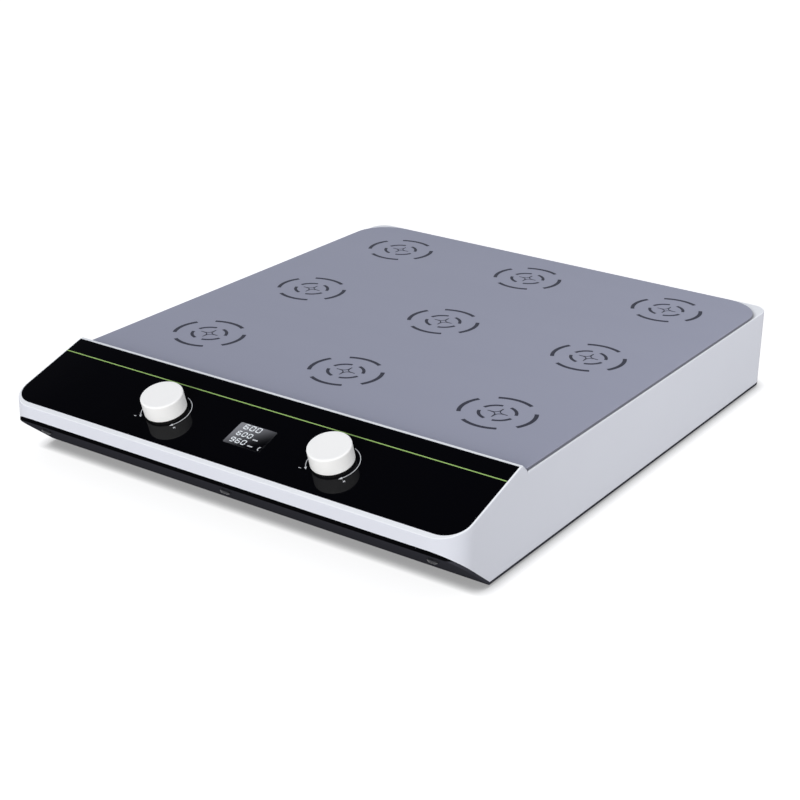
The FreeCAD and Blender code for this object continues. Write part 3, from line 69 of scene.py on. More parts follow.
class Graph:
    """A node tree, with short calls for the nodes that the finishes, the floor and the sky share.

    A colour Mix node has several kinds of sockets under the same names, so they go by number.
    """

    MIX_FACTOR = 0
    MIX_FIRST = 6
    MIX_SECOND = 7
    MIX_RESULT = 2

    def __init__(self, tree: bpy.types.NodeTree) -> None:
        """Start with an empty tree.

        Args:
            tree: The tree to fill.
        """
        self.tree = tree
        self.tree.nodes.clear()

    def add(self, kind: str, **settings: object) -> bpy.types.Node:
        """Add a node and set its own properties.

        Args:
            kind: Blender's name of the node type.
            **settings: Properties of the node.

        Returns:
            The new node.
        """
        node = self.tree.nodes.new(kind)
        for name, value in settings.items():
            setattr(node, name, value)
        return node

    def feed(self, target: Socket, value: object) -> None:
        """Link a node's output to an input, or set a plain value on it.

        Args:
            target: The input. A colour gets its alpha here.
            value: The output, number, vector or colour.
        """
        if isinstance(value, Socket):
            self.tree.links.new(value, target)
        elif target.type == "RGBA":
            target.default_value = (*value, 1.0)
        else:
            target.default_value = value

    def operate(self, kind: str, operation: str, first: object, second: object) -> bpy.types.Node:
        """Add a Math or Vector Math node.

        Args:
            kind: Blender's name of the node type.
            operation: Blender's name of the operation.
            first: The first value or output.
            second: The second value or output.

        Returns:
            The new node.
        """
        node = self.add(kind, operation=operation)
        self.feed(node.inputs[0], first)
        self.feed(node.inputs[1], second)
        return node

    def combine(self, operation: str, first: Number, second: Number) -> Socket:
        """Give the outcome of an operation on two numbers."""
        return self.operate("ShaderNodeMath", operation, first, second).outputs["Value"]

    def dot(self, first: Socket, second: Socket | Vector) -> Socket:
        """Give the dot product of two vectors."""
        return self.operate("ShaderNodeVectorMath", "DOT_PRODUCT", first, second).outputs["Value"]

    def height_of(self, vector: Socket) -> Socket:
        """Give a vector's Z.

        Args:
            vector: The vector.

        Returns:
            Its Z.
        """
        split = self.add("ShaderNodeSeparateXYZ")
        self.feed(split.inputs["Vector"], vector)
        return split.outputs["Z"]

    def remap(self, source: Socket, low: Number, high: Number,
              start: float = 0.0, end: float = 1.0) -> Socket:
        """Stretch a value from one range to another.

        Args:
            source: The value.
            low: What the start becomes.
            high: What the end becomes.
            start: Start of the value's own range.
            end: End of the value's own range.

        Returns:
            The stretched value.
        """
        node = self.add("ShaderNodeMapRange")
        self.feed(node.inputs["Value"], source)
        self.feed(node.inputs["From Min"], start)
        self.feed(node.inputs["From Max"], end)
        self.feed(node.inputs["To Min"], low)
        self.feed(node.inputs["To Max"], high)
        return node.outputs["Result"]

    def mix(self, factor: Socket, first: Colour | Socket, second: Colour | Socket) -> Socket:
        """Mix two colours, each a plain colour or another node's output.

        Args:
            factor: 0 gives the first colour and 1 the second.
            first: The colour at 0.
            second: The colour at 1.

        Returns:
            The mixed colour.
        """
        node = self.add("ShaderNodeMix", data_type="RGBA")
        self.feed(node.inputs[self.MIX_FACTOR], factor)
        self.feed(node.inputs[self.MIX_FIRST], first)
        self.feed(node.inputs[self.MIX_SECOND], second)
        return node.outputs[self.MIX_RESULT]

    def vary(self, factor: Socket, colour: Colour, low: float, high: float) -> Socket:
        """Let a colour's lightness go from low to high as a value goes from 0 to 1."""
        return self.mix(factor, shade(colour, low), shade(colour, high))


class Surface(Graph):
    """A material's nodes round one principled shader."""

    EDGE_SAMPLES = 6
    EDGE_TURNS = (0.72, 0.995)
    OPEN_SAMPLES = 12

    def __init__(self, name: str) -> None:
        """Start a material with one principled shader.

        Args:
            name: The material's name.
        """
        self.material = bpy.data.materials.new(name)
        self.material.use_nodes = True
        super().__init__(self.material.node_tree)
        self.shader = self.add("ShaderNodeBsdfPrincipled")
        self.output = self.add("ShaderNodeOutputMaterial")
        self.feed(self.output.inputs["Surface"], self.shader.outputs["BSDF"])

    def set(self, **values: object) -> None:
        """Feed the shader's sockets, with underscores for the spaces in their names."""
        for name, value in values.items():
            self.feed(self.shader.inputs[name.replace("_", " ")], value)

    def paint(self, colour: Socket) -> None:
        """Link the shader's base colour."""
        self.set(Base_Color=colour)

    def rough(self, source: Socket, low: float, high: float) -> None:
        """Let the shader's roughness go from low to high as a value goes from 0 to 1."""
        self.set(Roughness=self.remap(source, low, high))

    def coordinates(self, space: Space = Space.EVEN) -> Socket:
        """Give coordinates in the model's frame.

        Args:
            space: How they are stretched.

        Returns:
            The coordinates.
        """
        source = self.add("ShaderNodeTexCoord").outputs["Object"]
        if space is Space.EVEN:
            return source
        mapping = self.add("ShaderNodeMapping")
        mapping.inputs["Scale"].default_value = space.value
        self.feed(mapping.inputs["Vector"], source)
        return mapping.outputs["Vector"]

    def noise(self, size: float, detail: float = 3.0, space: Space = Space.EVEN) -> Socket:
        """Give a noise whose lumps have about the given size.

        Args:
            size: Size of a lump, in metres.
            detail: How many finer layers lie on it.
            space: How the noise is stretched.

        Returns:
            The noise's value, from 0 to 1.
        """
        node = self.add("ShaderNodeTexNoise")
        node.inputs["Scale"].default_value = 1.0 / size
        node.inputs["Detail"].default_value = detail
        self.feed(node.inputs["Vector"], self.coordinates(space))
        return node.outputs["Fac"]

    def soft_edges(self, radius: float) -> tuple[Socket, Socket]:
        """Round the shading over sharp edges.

        Args:
            radius: Radius of the rounding, in metres.

        Returns:
            The rounded normal, and a mask that is above 0 only near edges.
        """
        bevel = self.add("ShaderNodeBevel", samples=self.EDGE_SAMPLES)
        bevel.inputs["Radius"].default_value = radius
        flat = self.add("ShaderNodeNewGeometry").outputs["True Normal"]
        mask = self.remap(self.dot(bevel.outputs["Normal"], flat), 1.0, 0.0, *self.EDGE_TURNS)
        return bevel.outputs["Normal"], mask

    def upward(self, start: float, end: float) -> Socket:
        """Give a mask that grows from 0 to 1 as a face's normal rises between two heights."""
        normal = self.add("ShaderNodeNewGeometry").outputs["Normal"]
        return self.remap(self.height_of(normal), 0.0, 1.0, start, end)

    def openness(self, reach: float, level: float, start: float, end: float) -> Socket:
        """Give 1 on open faces, falling to a level where other faces crowd round.

        Args:
            reach: How far a face is looked for, in metres.
            level: The value in a tight place.
            start: Open share that counts as tight.
            end: Open share that counts as open.

        Returns:
            The value.
        """
        node = self.add("ShaderNodeAmbientOcclusion", samples=self.OPEN_SAMPLES)
        node.inputs["Distance"].default_value = reach
        return self.remap(node.outputs["AO"], level, 1.0, start, end)

    def bump(self, height: Socket, depth: float, strength: float,
             normal: Socket | None = None) -> None:
        """Give the shader a bumped normal.

        Args:
            height: The height map.
            depth: Depth of the map, in metres.
            strength: Share of the bump that is used.
            normal: The normal that the bump starts from.
        """
        node = self.add("ShaderNodeBump")
        node.inputs["Distance"].default_value = depth
        node.inputs["Strength"].default_value = strength
        self.feed(node.inputs["Height"], height)
        if normal is not None:
            self.feed(node.inputs["Normal"], normal)
        self.set(Normal=node.outputs["Normal"])


def shade(colour: Colour, factor: float) -> Colour:
    """Make a colour lighter or darker, up to white."""
    red, green, blue = (min(1.0, part * factor) for part in colour)
    return red, green, blue


@dataclass(frozen=True)
class Finish:
    """The look of some pieces, as a procedural material."""

    name: str

    def material(self) -> bpy.types.Material:
        """Give the material, which the first call builds.

        Returns:
            The material.
        """
        known = bpy.data.materials.get(self.name)
        if known is not None:
            return known
        surface = Surface(self.name)
        self.fill(surface)
        return surface.material

    def fill(self, surface: Surface) -> None:
        """Add the finish's own nodes to a new surface."""
        raise NotImplementedError


@dataclass(frozen=True)
class Moulded(Finish):
    """Moulded plastic or rubber: fine grain, faint flow marks and slightly rubbed edges.

    The glow is painted light that lightens the shaded sides of pale plastic, the top light tint
    is painted light on upward faces, and the seam is how far painted shade reaches from a joint.
    """

    colour: Colour
    roughness: float
    swing: float = 0.06
    drift: float = 60 * MM
    drift_tints: Range = (0.975, 1.015)
    grain: float = 0.35 * MM
    grain_depth: float = 0.02 * MM
    grain_strength: float = 0.25
    edge: float = 0.5 * MM
    edge_tint: float = 1.05
    specular: float = 0.5
    # painted light: a glow that lightens the shaded sides of pale plastic
    glow: float = 0.0
    # painted light: faces that look up are made lighter
    top_light_tint: float = 1.0
    top_light_rise: Range = (0.5, 0.72)
    # painted shade: faces darken near joints where other faces crowd round them
    seam_shade_reach: float = 0.0
    seam_shade_tint: float = 0.4
    seam_shade_open: Range = (0.66, 0.98)

    def fill(self, surface: Surface) -> None:
        """Add the grain, the marks, the edges, the painted glow, top light and seam shade.

        Args:
            surface: The surface to fill.
        """
        surface.set(Specular_IOR_Level=self.specular)
        # painted light: emission that lightens the shaded sides
        if self.glow > 0.0:
            surface.set(Emission_Color=self.colour, Emission_Strength=self.glow)
        normal, edges = surface.soft_edges(self.edge)
        body = surface.vary(surface.noise(self.drift, 2.0), self.colour, *self.drift_tints)
        rubbed = surface.mix(edges, body, shade(self.colour, self.edge_tint))
        # painted light: faces that look up get a lighter colour
        top = surface.upward(*self.top_light_rise)
        colour = surface.mix(top, rubbed, shade(self.colour, self.top_light_tint))
        # painted shade: darker where other faces crowd round, as in the joint at the plate
        if self.seam_shade_reach > 0.0:
            unshaded = surface.openness(self.seam_shade_reach, 0.0, *self.seam_shade_open)
            colour = surface.mix(unshaded, shade(self.colour, self.seam_shade_tint), colour)
        surface.paint(colour)
        fine = surface.noise(self.grain, 4.0)
        surface.rough(fine, self.roughness - self.swing, self.roughness + self.swing)
        surface.bump(fine, self.grain_depth, self.grain_strength, normal)


@dataclass(frozen=True)
class Coated(Finish):
    """A satin coat on metal: orange peel, fine speckle, and faint wiping marks in its sheen.

    The side tint is painted shade on upright faces, the edge tint is painted shade along edges, and
    the lip is the height above which the coat is almost black, a painted shadow under an overhang.
    """

    colour: Colour
    roughness: float
    swing: float = 0.05
    speckle: float = 0.04
    speckle_size: float = 0.25 * MM
    speckle_span: Range = (0.35, 0.65)
    peel: float = 0.9 * MM
    peel_depth: float = 0.02 * MM
    peel_strength: float = 0.2
    wipe: float = 22 * MM
    edge: float = 0.35 * MM
    # painted shade: edges are made darker
    edge_tint: float = 0.78
    specular: float = 0.4
    # painted shade: upright faces are made darker
    side_shade_tint: float = 1.0
    side_shade_rise: Range = (0.1, 0.7)
    # painted shadow: above this height the coat is almost black, as under an overhang
    lip_shadow_height: float = 0.0
    lip_shadow_blur: float = 0.5 * MM
    lip_shadow_tint: float = 0.05

    def fill(self, surface: Surface) -> None:
        """Add the speckle, the peel, the wiping marks and the painted shade and shadow.

        Args:
            surface: The surface to fill.
        """
        surface.set(Specular_IOR_Level=self.specular)
        normal, edges = surface.soft_edges(self.edge)
        dots = surface.remap(surface.noise(self.speckle_size, 2.0), 0.0, 1.0, *self.speckle_span)
        body = surface.vary(dots, self.colour, 1.0 - self.speckle, 1.0 + self.speckle)
        # painted shade: darker along the edges
        top = surface.mix(edges, body, shade(self.colour, self.edge_tint))
        # painted shade: upright faces get a darker colour
        rise = surface.upward(*self.side_shade_rise)
        colour = surface.mix(rise, shade(self.colour, self.side_shade_tint), top)
        # painted shadow: almost black above the lip height, as under the housing's overhang
        if self.lip_shadow_height > 0.0:
            height = surface.height_of(surface.coordinates())
            low, high = self.lip_shadow_height - self.lip_shadow_blur, self.lip_shadow_height + self.lip_shadow_blur
            above = surface.remap(height, 0.0, 1.0, low, high)
            colour = surface.mix(above, colour, shade(self.colour, self.lip_shadow_tint))
        surface.paint(colour)
        wiped = surface.noise(self.wipe, 5.0, Space.ACROSS)
        surface.rough(wiped, self.roughness - self.swing, self.roughness + self.swing)
        peel = surface.noise(self.peel, 1.0)
        surface.bump(peel, self.peel_depth, self.peel_strength, normal)


@dataclass(frozen=True)
class Glass(Finish):
    """Black back-printed glass: near black, glossy, with faint handling smears in its gloss."""

    colour: Colour
    gloss: float = 0.05
    smear: float = 0.05
    smear_size: float = 18 * MM
    smear_span: Range = (0.45, 0.75)
    specular: float = 0.12
    edge: float = 0.25 * MM
    edge_tint: float = 4.0
    depth: float = 90 * MM
    depth_tints: Range = (0.85, 1.15)
    wave: float = 30 * MM
    wave_depth: float = 0.01 * MM
    wave_strength: float = 0.1

    def fill(self, surface: Surface) -> None:
        """Add the depth, the lighter edges, the smears and the slight wave.

        Args:
            surface: The surface to fill.
        """
        surface.set(Specular_IOR_Level=self.specular)
        normal, edges = surface.soft_edges(self.edge)
        body = surface.vary(surface.noise(self.depth, 1.0), self.colour, *self.depth_tints)
        surface.paint(surface.mix(edges, body, shade(self.colour, self.edge_tint)))
        smears = surface.remap(surface.noise(self.smear_size, 6.0), 0.0, 1.0, *self.smear_span)
        surface.rough(smears, self.gloss, self.gloss + self.smear)
        wave = surface.noise(self.wave, 1.0)
        surface.bump(wave, self.wave_depth, self.wave_strength, normal)


@dataclass(frozen=True)
class Smoked(Finish):
    """The display's smoked film: grey upper left corner, a painted reflection, fading to black
    across it.
    """

    # painted reflection: the grey at the corner where the fade starts
    light: Colour
    dark: Colour
    corner: Vector
    fade: Vector
    specular: float = 0.15
    gloss: Range = (0.08, 0.14)
    haze: float = 0.4 * MM
    haze_depth: float = 0.005 * MM
    haze_strength: float = 0.1

    def fill(self, surface: Surface) -> None:
        """Add the fade, which is a painted reflection, and the haze.

        Args:
            surface: The surface to fill.
        """
        surface.set(Specular_IOR_Level=self.specular)
        place = surface.coordinates()
        offset = surface.operate("ShaderNodeVectorMath", "SUBTRACT", place, self.corner)
        reach = surface.dot(offset.outputs["Vector"], self.fade / self.fade.length_squared)
        ramp = surface.add("ShaderNodeMapRange", interpolation_type="SMOOTHERSTEP")
        surface.feed(ramp.inputs["Value"], reach)
        surface.paint(surface.mix(ramp.outputs["Result"], self.light, self.dark))
        haze = surface.noise(self.haze, 2.0)
        surface.rough(haze, *self.gloss)
        surface.bump(haze, self.haze_depth, self.haze_strength)


@dataclass(frozen=True)
class Ink(Finish):
    """Printed ink with a slightly uneven film, which may be lit from behind."""

    colour: Colour
    roughness: float = 0.5
    glow: float = 0.0
    swing: float = 0.08
    specular: float = 0.2
    film: float = 0.6 * MM
    film_tints: Range = (0.93, 1.07)
    film_depth: float = 0.004 * MM
    film_strength: float = 0.2

    def fill(self, surface: Surface) -> None:
        """Add the uneven film and its glow.

        Args:
            surface: The surface to fill.
        """
        surface.set(Specular_IOR_Level=self.specular)
        film = surface.noise(self.film, 3.0)
        colour = surface.vary(film, self.colour, *self.film_tints)
        surface.paint(colour)
        surface.rough(film, self.roughness - self.swing, self.roughness + self.swing)
        surface.bump(film, self.film_depth, self.film_strength)
        if self.glow > 0.0:
            surface.set(Emission_Color=colour, Emission_Strength=self.glow)


@dataclass(frozen=True)
class Metal(Finish):
    """Bare or plated metal with fine lines left by its making, and brighter rubbed edges."""

    colour: Colour
    roughness: float
    lines: Space = Space.ACROSS
    smoother: float = 0.08
    rougher: float = 0.1
    line: float = 0.3 * MM
    line_tints: Range = (0.9, 1.06)
    line_depth: float = 0.01 * MM
    line_strength: float = 0.2
    edge: float = 0.2 * MM
    edge_tint: float = 1.2

    def fill(self, surface: Surface) -> None:
        """Add the lines and the edges.

        Args:
            surface: The surface to fill.
        """
        surface.set(Metallic=1.0)
        normal, edges = surface.soft_edges(self.edge)
        lines = surface.noise(self.line, 4.0, self.lines)
        body = surface.vary(lines, self.colour, *self.line_tints)
        surface.paint(surface.mix(edges, body, shade(self.colour, self.edge_tint)))
        surface.rough(lines, self.roughness - self.smoother, self.roughness + self.rougher)
        surface.bump(lines, self.line_depth, self.line_strength, normal)


@dataclass(frozen=True)
class Circuit(Finish):
    """A circuit board: green mask with paler tracks, and dark parts above a given height."""

    mask: Colour
    track: Colour
    part: Colour
    top: float
    field_tint: float = 1.2
    pitch: float = 12 * MM
    track_width: float = 0.04
    track_depth: float = 0.03 * MM
    track_strength: float = 0.4
    film: float = 0.5 * MM
    gloss: Range = (0.25, 0.45)

    def fill(self, surface: Surface) -> None:
        """Add the tracks and the parts.

        Args:
            surface: The surface to fill.
        """
        bricks = surface.add("ShaderNodeTexBrick")
        bricks.inputs["Scale"].default_value = 1.0 / self.pitch
        bricks.inputs["Mortar Size"].default_value = self.track_width
        surface.feed(bricks.inputs["Color1"], self.mask)
        surface.feed(bricks.inputs["Color2"], shade(self.mask, self.field_tint))
        surface.feed(bricks.inputs["Mortar"], self.track)
        place = surface.coordinates()
        surface.feed(bricks.inputs["Vector"], place)
        above = surface.combine("GREATER_THAN", surface.height_of(place), self.top)
        surface.paint(surface.mix(above, bricks.outputs["Color"], self.part))
        surface.rough(surface.noise(self.film, 3.0), *self.gloss)
        surface.bump(bricks.outputs["Fac"], self.track_depth, self.track_strength)


# painted light on faces that look up, and painted shade at the seams
WHITE_HOUSING = Moulded(
    "white_housing", (0.77, 0.78, 0.83), 0.42, edge=0.3 * MM, top_light_tint=1.27, seam_shade_reach=3 * MM,
)
# painted glow that lightens the knobs' shaded sides
WHITE_KNOB = Moulded("white_knob", (0.96, 0.95, 0.92), 0.36, grain=0.2 * MM, glow=0.11)
# painted shade on the plate's upright faces and edges
GREY_PLATE = Coated("grey_plate", (0.355, 0.365, 0.455), 0.48, side_shade_tint=0.4)
# painted shadow on the tray above the lip height
BLACK_TRAY = Coated("black_tray", (0.05, 0.05, 0.06), 0.7, specular=0.0, lip_shadow_height=25.4 * MM)
BLACK_GLASS = Glass("black_glass", (0.0012, 0.0012, 0.0022))
BLACK_PLASTIC = Moulded("black_plastic", (0.016, 0.016, 0.018), 0.45, edge_tint=1.6)
GREY_PLASTIC = Moulded("grey_plastic", (0.22, 0.22, 0.23), 0.5)
RUBBER = Moulded("black_rubber", (0.02, 0.02, 0.02), 0.75, grain=0.6 * MM, specular=0.3)
ZINC = Metal("zinc_plate", (0.62, 0.63, 0.65), 0.32)
BLACKED = Metal("blackened_steel", (0.06, 0.06, 0.065), 0.35)
BRASS = Metal("brass", (0.78, 0.58, 0.27), 0.28, Space.UPRIGHT)
NICKEL = Metal("nickel_plate", (0.72, 0.71, 0.69), 0.18, Space.UPRIGHT)
ALUMINIUM = Metal("milled_aluminium", (0.77, 0.78, 0.79), 0.36)
MARK_INK = Ink("mark_ink", (0.024, 0.026, 0.048), 0.5)
GREEN_INK = Ink("green_ink", (0.37, 0.58, 0.17), 0.4)
PALE_INK = Ink("pale_ink", (0.66, 0.67, 0.68), 0.45)
DIGIT_LIGHT = Ink("digit_light", (0.62, 0.65, 0.67), 0.4, glow=0.5)


def dress(finish: Finish, *nodes: str) -> None:
    """Give CAD nodes a finish.

    Args:
        finish: The finish they share.
        *nodes: Names of the nodes.
    """
    material = finish.material()
    for name in nodes:
        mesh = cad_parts[name].data
        mesh.materials.clear()
        mesh.materials.append(material)
    LOG.info("%s dressed in %s", ", ".join(nodes), finish.name)


def add_object(name: str, data: bpy.types.ID) -> bpy.types.Object:
    """Add an object to the scene.

    Args:
        name: Its name.
        data: Its mesh, lamp or camera.

    Returns:
        The object.
    """
    item = bpy.data.objects.new(name, data)
    bpy.context.scene.collection.objects.link(item)
    return item


@dataclass(frozen=True)
class Plane:
    """A flat face to print on: an origin on the face and two directions in it."""

    origin: Vector
    across: Vector
    along: Vector

    @property
    def normal(self) -> Vector:
        """The direction out of the face."""
        return self.across.cross(self.along)

    def at(self, x: float, y: float, lift: float = 0.0) -> Vector:
        """Give the point at x and y on the face, lifted off it."""
        return self.origin + x * self.across + y * self.along + lift * self.normal

    def locate(self, point: Vector) -> Point:
        """Give the x and y of the spot on the face that lies under a point."""
        reach = point - self.origin
        return reach.dot(self.across), reach.dot(self.along)


@dataclass
class Print:
    """A thin print on a face, built as closed strips and patches with a little thickness."""

    ARC_STEP = 4.0
    ARC_LEAST = 4

    name: str
    plane: Plane
    finish: Finish
    body: str
    thickness: float = 0.05 * MM
    sink: float = 0.03 * MM
    shape: bmesh.types.BMesh = field(default_factory=bmesh.new)

    def patch(self, outline: Sequence[Point]) -> None:
        """Add a filled outline.

        Args:
            outline: Its corners, counterclockwise.
        """
        low = [self.shape.verts.new(self.plane.at(x, y, -self.sink)) for x, y in outline]
        high = [self.shape.verts.new(self.plane.at(x, y, self.thickness)) for x, y in outline]
        self.shape.faces.new(list(reversed(low)))
        self.shape.faces.new(high)
        for index in range(len(outline)):
            after = (index + 1) % len(outline)
            self.shape.faces.new((low[index], low[after], high[after], high[index]))

    def strip(self, path: Sequence[Point], width: float) -> None:
        """Add a strip of even width along an open path.

        Args:
            path: Points on the middle of the strip.
            width: The strip's width.
        """
        left: list[Point] = []
        right: list[Point] = []
        for index, (x, y) in enumerate(path):
            before = path[max(index - 1, 0)]
            after = path[min(index + 1, len(path) - 1)]
            run, rise = after[0] - before[0], after[1] - before[1]
            length = math.hypot(run, rise)
            side = (-rise / length * width / 2, run / length * width / 2)
            left.append((x + side[0], y + side[1]))
            right.append((x - side[0], y - side[1]))
        edges = []
        for lift in (-self.sink, self.thickness):
            edges.append([self.shape.verts.new(self.plane.at(*point, lift)) for point in left])
            edges.append([self.shape.verts.new(self.plane.at(*point, lift)) for point in right])
        low_left, low_right, high_left, high_right = edges
        sides = (
            (high_right, high_left), (low_left, low_right),
            (high_left, low_left), (low_right, high_right),
        )
        for index in range(len(path) - 1):
            after = index + 1
            for first, second in sides:
                self.shape.faces.new((first[index], first[after], second[after], second[index]))
        for end, order in ((0, 1), (-1, -1)):
            ring = [low_left[end], high_left[end], high_right[end], low_right[end]]
            self.shape.faces.new(ring[::order])

    def arc(self, centre: Point, radius: float, start: float, end: float, width: float) -> None:
        """Add a strip along an arc.

        Args:
            centre: The arc's centre on the face.
            radius: Radius to the middle of the strip.
            start: Angle where it starts, in degrees.
            end: Angle where it ends, in degrees.
            width: The strip's width.
        """
        steps = max(self.ARC_LEAST, round(abs(end - start) / self.ARC_STEP))
        self.strip(list(arc_points(centre, radius, start, end, steps)), width)

    def done(self) -> None:
        """Turn the shape into a piece that rides on its body."""
        bmesh.ops.recalc_face_normals(self.shape, faces=self.shape.faces)
        mesh = bpy.data.meshes.new(self.name)
        self.shape.to_mesh(mesh)
        self.shape.free()
        add_piece(self.name, mesh, self.finish, self.body)


def arc_points(
    centre: Point, radius: float, start: float, end: float, steps: int,
) -> Iterable[Point]:
    """Give the points of an arc.

    Args:
        centre: The arc's centre.
        radius: Its radius.
        start: Angle where it starts, in degrees.
        end: Angle where it ends, in degrees.
        steps: How many straight steps stand for it.

    Returns:
        The points, from start to end.
    """
    for step in range(steps + 1):
        angle = math.radians(start + (end - start) * step / steps)
        yield centre[0] + radius * math.cos(angle), centre[1] + radius * math.sin(angle)


def add_piece(name: str, mesh: bpy.types.Mesh, finish: Finish, body: str) -> None:
    """Add a mesh to the scene as a piece that rides on a CAD body.

    Args:
        name: Name of the piece.
        mesh: Its mesh, in the model's frame.
        finish: Its finish.
        body: The body that it moves with.
    """
    mesh.materials.append(finish.material())
    piece = add_object(name, mesh)
    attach(piece, body)
    LOG.info("%s made, %d faces, on %s", name, len(mesh.polygons), body)


def middle(node: str) -> Vector:
    """Give the middle of a CAD node's box."""
    low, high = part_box(node)
    return (low + high) / 2


@dataclass
class Housing:
    """The white moulding, the tray under it, its feet and its screws."""

    shell: str = "housing_shell"
    tray: str = "base_tray"
    feet: str = "rubber_feet"
    front_screws: str = "front_screws"
    base_screws: str = "base_screws"

    def build(self) -> None:
        """Dress the housing's pieces."""
        dress(WHITE_HOUSING, self.shell)
        dress(BLACK_TRAY, self.tray)
        dress(RUBBER, self.feet)
        dress(BLACKED, self.front_screws)
        dress(ZINC, self.base_screws)


@dataclass
class WorkPlate:
    """The grey plate and the printed mark over each stirring place."""

    outer_radius: float = 20.9 * MM
    outer_width: float = 2.35 * MM
    outer_half_angle: float = 30.0
    inner_radius: float = 10.2 * MM
    inner_width: float = 1.9 * MM
    inner_half_angle: float = 31.0
    star_reach: float = 6.2 * MM
    star_power: int = 5
    star_width: float = 0.65 * MM
    star_steps: int = 16

    def build(self) -> None:
        """Dress the plate and print its nine marks."""
        dress(GREY_PLATE, "top_plate")
        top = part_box("top_plate")[1].z
        for number in range(1, PLACES + 1):
            centre = middle(f"motor_{number}")
            plane = Plane(Vector((centre.x, centre.y, top)), Vector((1, 0, 0)), Vector((0, 1, 0)))
            self.mark(Print(f"place_mark_{number}", plane, MARK_INK, "housing"))

    def mark(self, ink: Print) -> None:
        """Print one mark: two broken rings and a four-pointed star.

        Args:
            ink: The print to fill, its plane centred on the place.
        """
        rings = (
            (0.0, self.outer_radius, self.outer_half_angle, self.outer_width),
            (QUARTER_TURN / 2, self.inner_radius, self.inner_half_angle, self.inner_width),
        )
        for turn, radius, half, width in rings:
            for quarter in range(4):
                heading = turn + QUARTER_TURN * quarter
                ink.arc((0.0, 0.0), radius, heading - half, heading + half, width)
        for quarter in range(4):
            ink.strip(self.star_side(QUARTER_TURN * quarter), self.star_width)
        ink.done()

    def star_side(self, heading: float) -> list[Point]:
        """Give one hollow side of the star, from one tip to the next.

        Args:
            heading: Direction of the first tip, in degrees.

        Returns:
            Points along the side.
        """
        turn = Matrix.Rotation(math.radians(heading), 2)
        points = []
        for step in range(self.star_steps + 1):
            angle = math.radians(QUARTER_TURN * step / self.star_steps)
            reach = Vector((math.cos(angle) ** self.star_power, math.sin(angle) ** self.star_power))
            points.append(tuple(turn @ (reach * self.star_reach)))
        return points


@dataclass
class ControlPanel:
    """The panel glass with its prints, which lie on its largest face that looks upward."""

    line_drop: float = 11.9 * MM
    line_width: float = 0.66 * MM
    line_margin: float = 0.2 * MM
    arc_radius: float = 14.2 * MM
    arc_width: float = 0.36 * MM
    more_arc: tuple[float, float] = (72.0, -36.0)
    less_arc: tuple[float, float] = (172.0, 217.0)
    head_length: float = 2.0 * MM
    head_width: float = 1.6 * MM
    sign_size: float = 1.6 * MM
    sign_offset: float = 3.0 * MM
    upward: float = 0.5
    plane: Plane = field(init=False)

    def __post_init__(self) -> None:
        """Find the glass's upper face, with its origin at the middle of the top edge."""
        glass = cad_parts["control_panel"].data
        face = max(glass.polygons, key=lambda side: (side.normal.z > self.upward) * side.area)
        low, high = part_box("control_panel")
        slope = math.asin(-face.normal.y)
        along = Vector((0, math.cos(slope), math.sin(slope)))
        reach = (high.z - face.center.z) / math.sin(slope)
        origin = face.center + reach * along
        origin.x = (low.x + high.x) / 2
        self.plane = Plane(origin, Vector((1, 0, 0)), along)

    def build(self) -> None:
        """Dress the glass and print on it."""
        dress(BLACK_GLASS, "control_panel")
        self.green_line()
        for dial in ("time", "speed"):
            x, y = self.plane.locate(middle(f"{dial}_knob"))
            self.dial_print(Print(f"{dial}_dial_print", self.plane, PALE_INK, "housing"), (x, y))

    def green_line(self) -> None:
        """Print the thin line across the whole glass."""
        low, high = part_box("control_panel")
        line = Print("panel_line", self.plane, GREEN_INK, "housing")
        ends = (low.x + self.line_margin, high.x - self.line_margin)
        line.strip([(x, -self.line_drop) for x in ends], self.line_width)
        line.done()

    def dial_print(self, ink: Print, centre: Point) -> None:
        """Print two arrowed arcs round a knob, with a plus and a minus at their ends.

        Args:
            ink: The print to fill.
            centre: The arcs' centre on the glass.
        """
        for start, end in (self.more_arc, self.less_arc):
            ink.arc(centre, self.arc_radius, start, end, self.arc_width)
            self.arrow_head(ink, centre, end, math.copysign(1.0, end - start))
        for angle, upright in ((self.more_arc[1], True), (self.less_arc[1], False)):
            reach = self.arc_radius + self.sign_offset
            heading = math.radians(angle)
            x = centre[0] + reach * math.cos(heading)
            y = centre[1] + reach * math.sin(heading)
            half = self.sign_size / 2
            ink.strip([(x - half, y), (x + half, y)], self.arc_width)
            if upright:
                ink.strip([(x, y - half), (x, y + half)], self.arc_width)
        ink.done()

    def arrow_head(self, ink: Print, centre: Point, angle: float, sense: float) -> None:
        """Print the arrow head at an arc's end.

        Args:
            ink: The print to fill.
            centre: The arc's centre.
            angle: Angle of the arc's end, in degrees.
            sense: 1 where the arc runs counterclockwise, and -1 where it runs clockwise.
        """
        heading = math.radians(angle)
        out = Vector((math.cos(heading), math.sin(heading)))
        forward = sense * Vector((-out.y, out.x))
        root = Vector(centre) + self.arc_radius * out
        tip = root + forward * self.head_length
        corners = [root + out * self.head_width / 2, root - out * self.head_width / 2, tip]
        if sense > 0:
            corners = [corners[1], corners[0], corners[2]]
        ink.patch([tuple(corner) for corner in corners])


@dataclass(frozen=True)
class Row:
    """One row of digits on the display: what it shows, where it starts and how large it is."""

    digits: str
    left: float
    drop: float
    pitch: float
    width: float
    height: float
    tick: Point | None = None


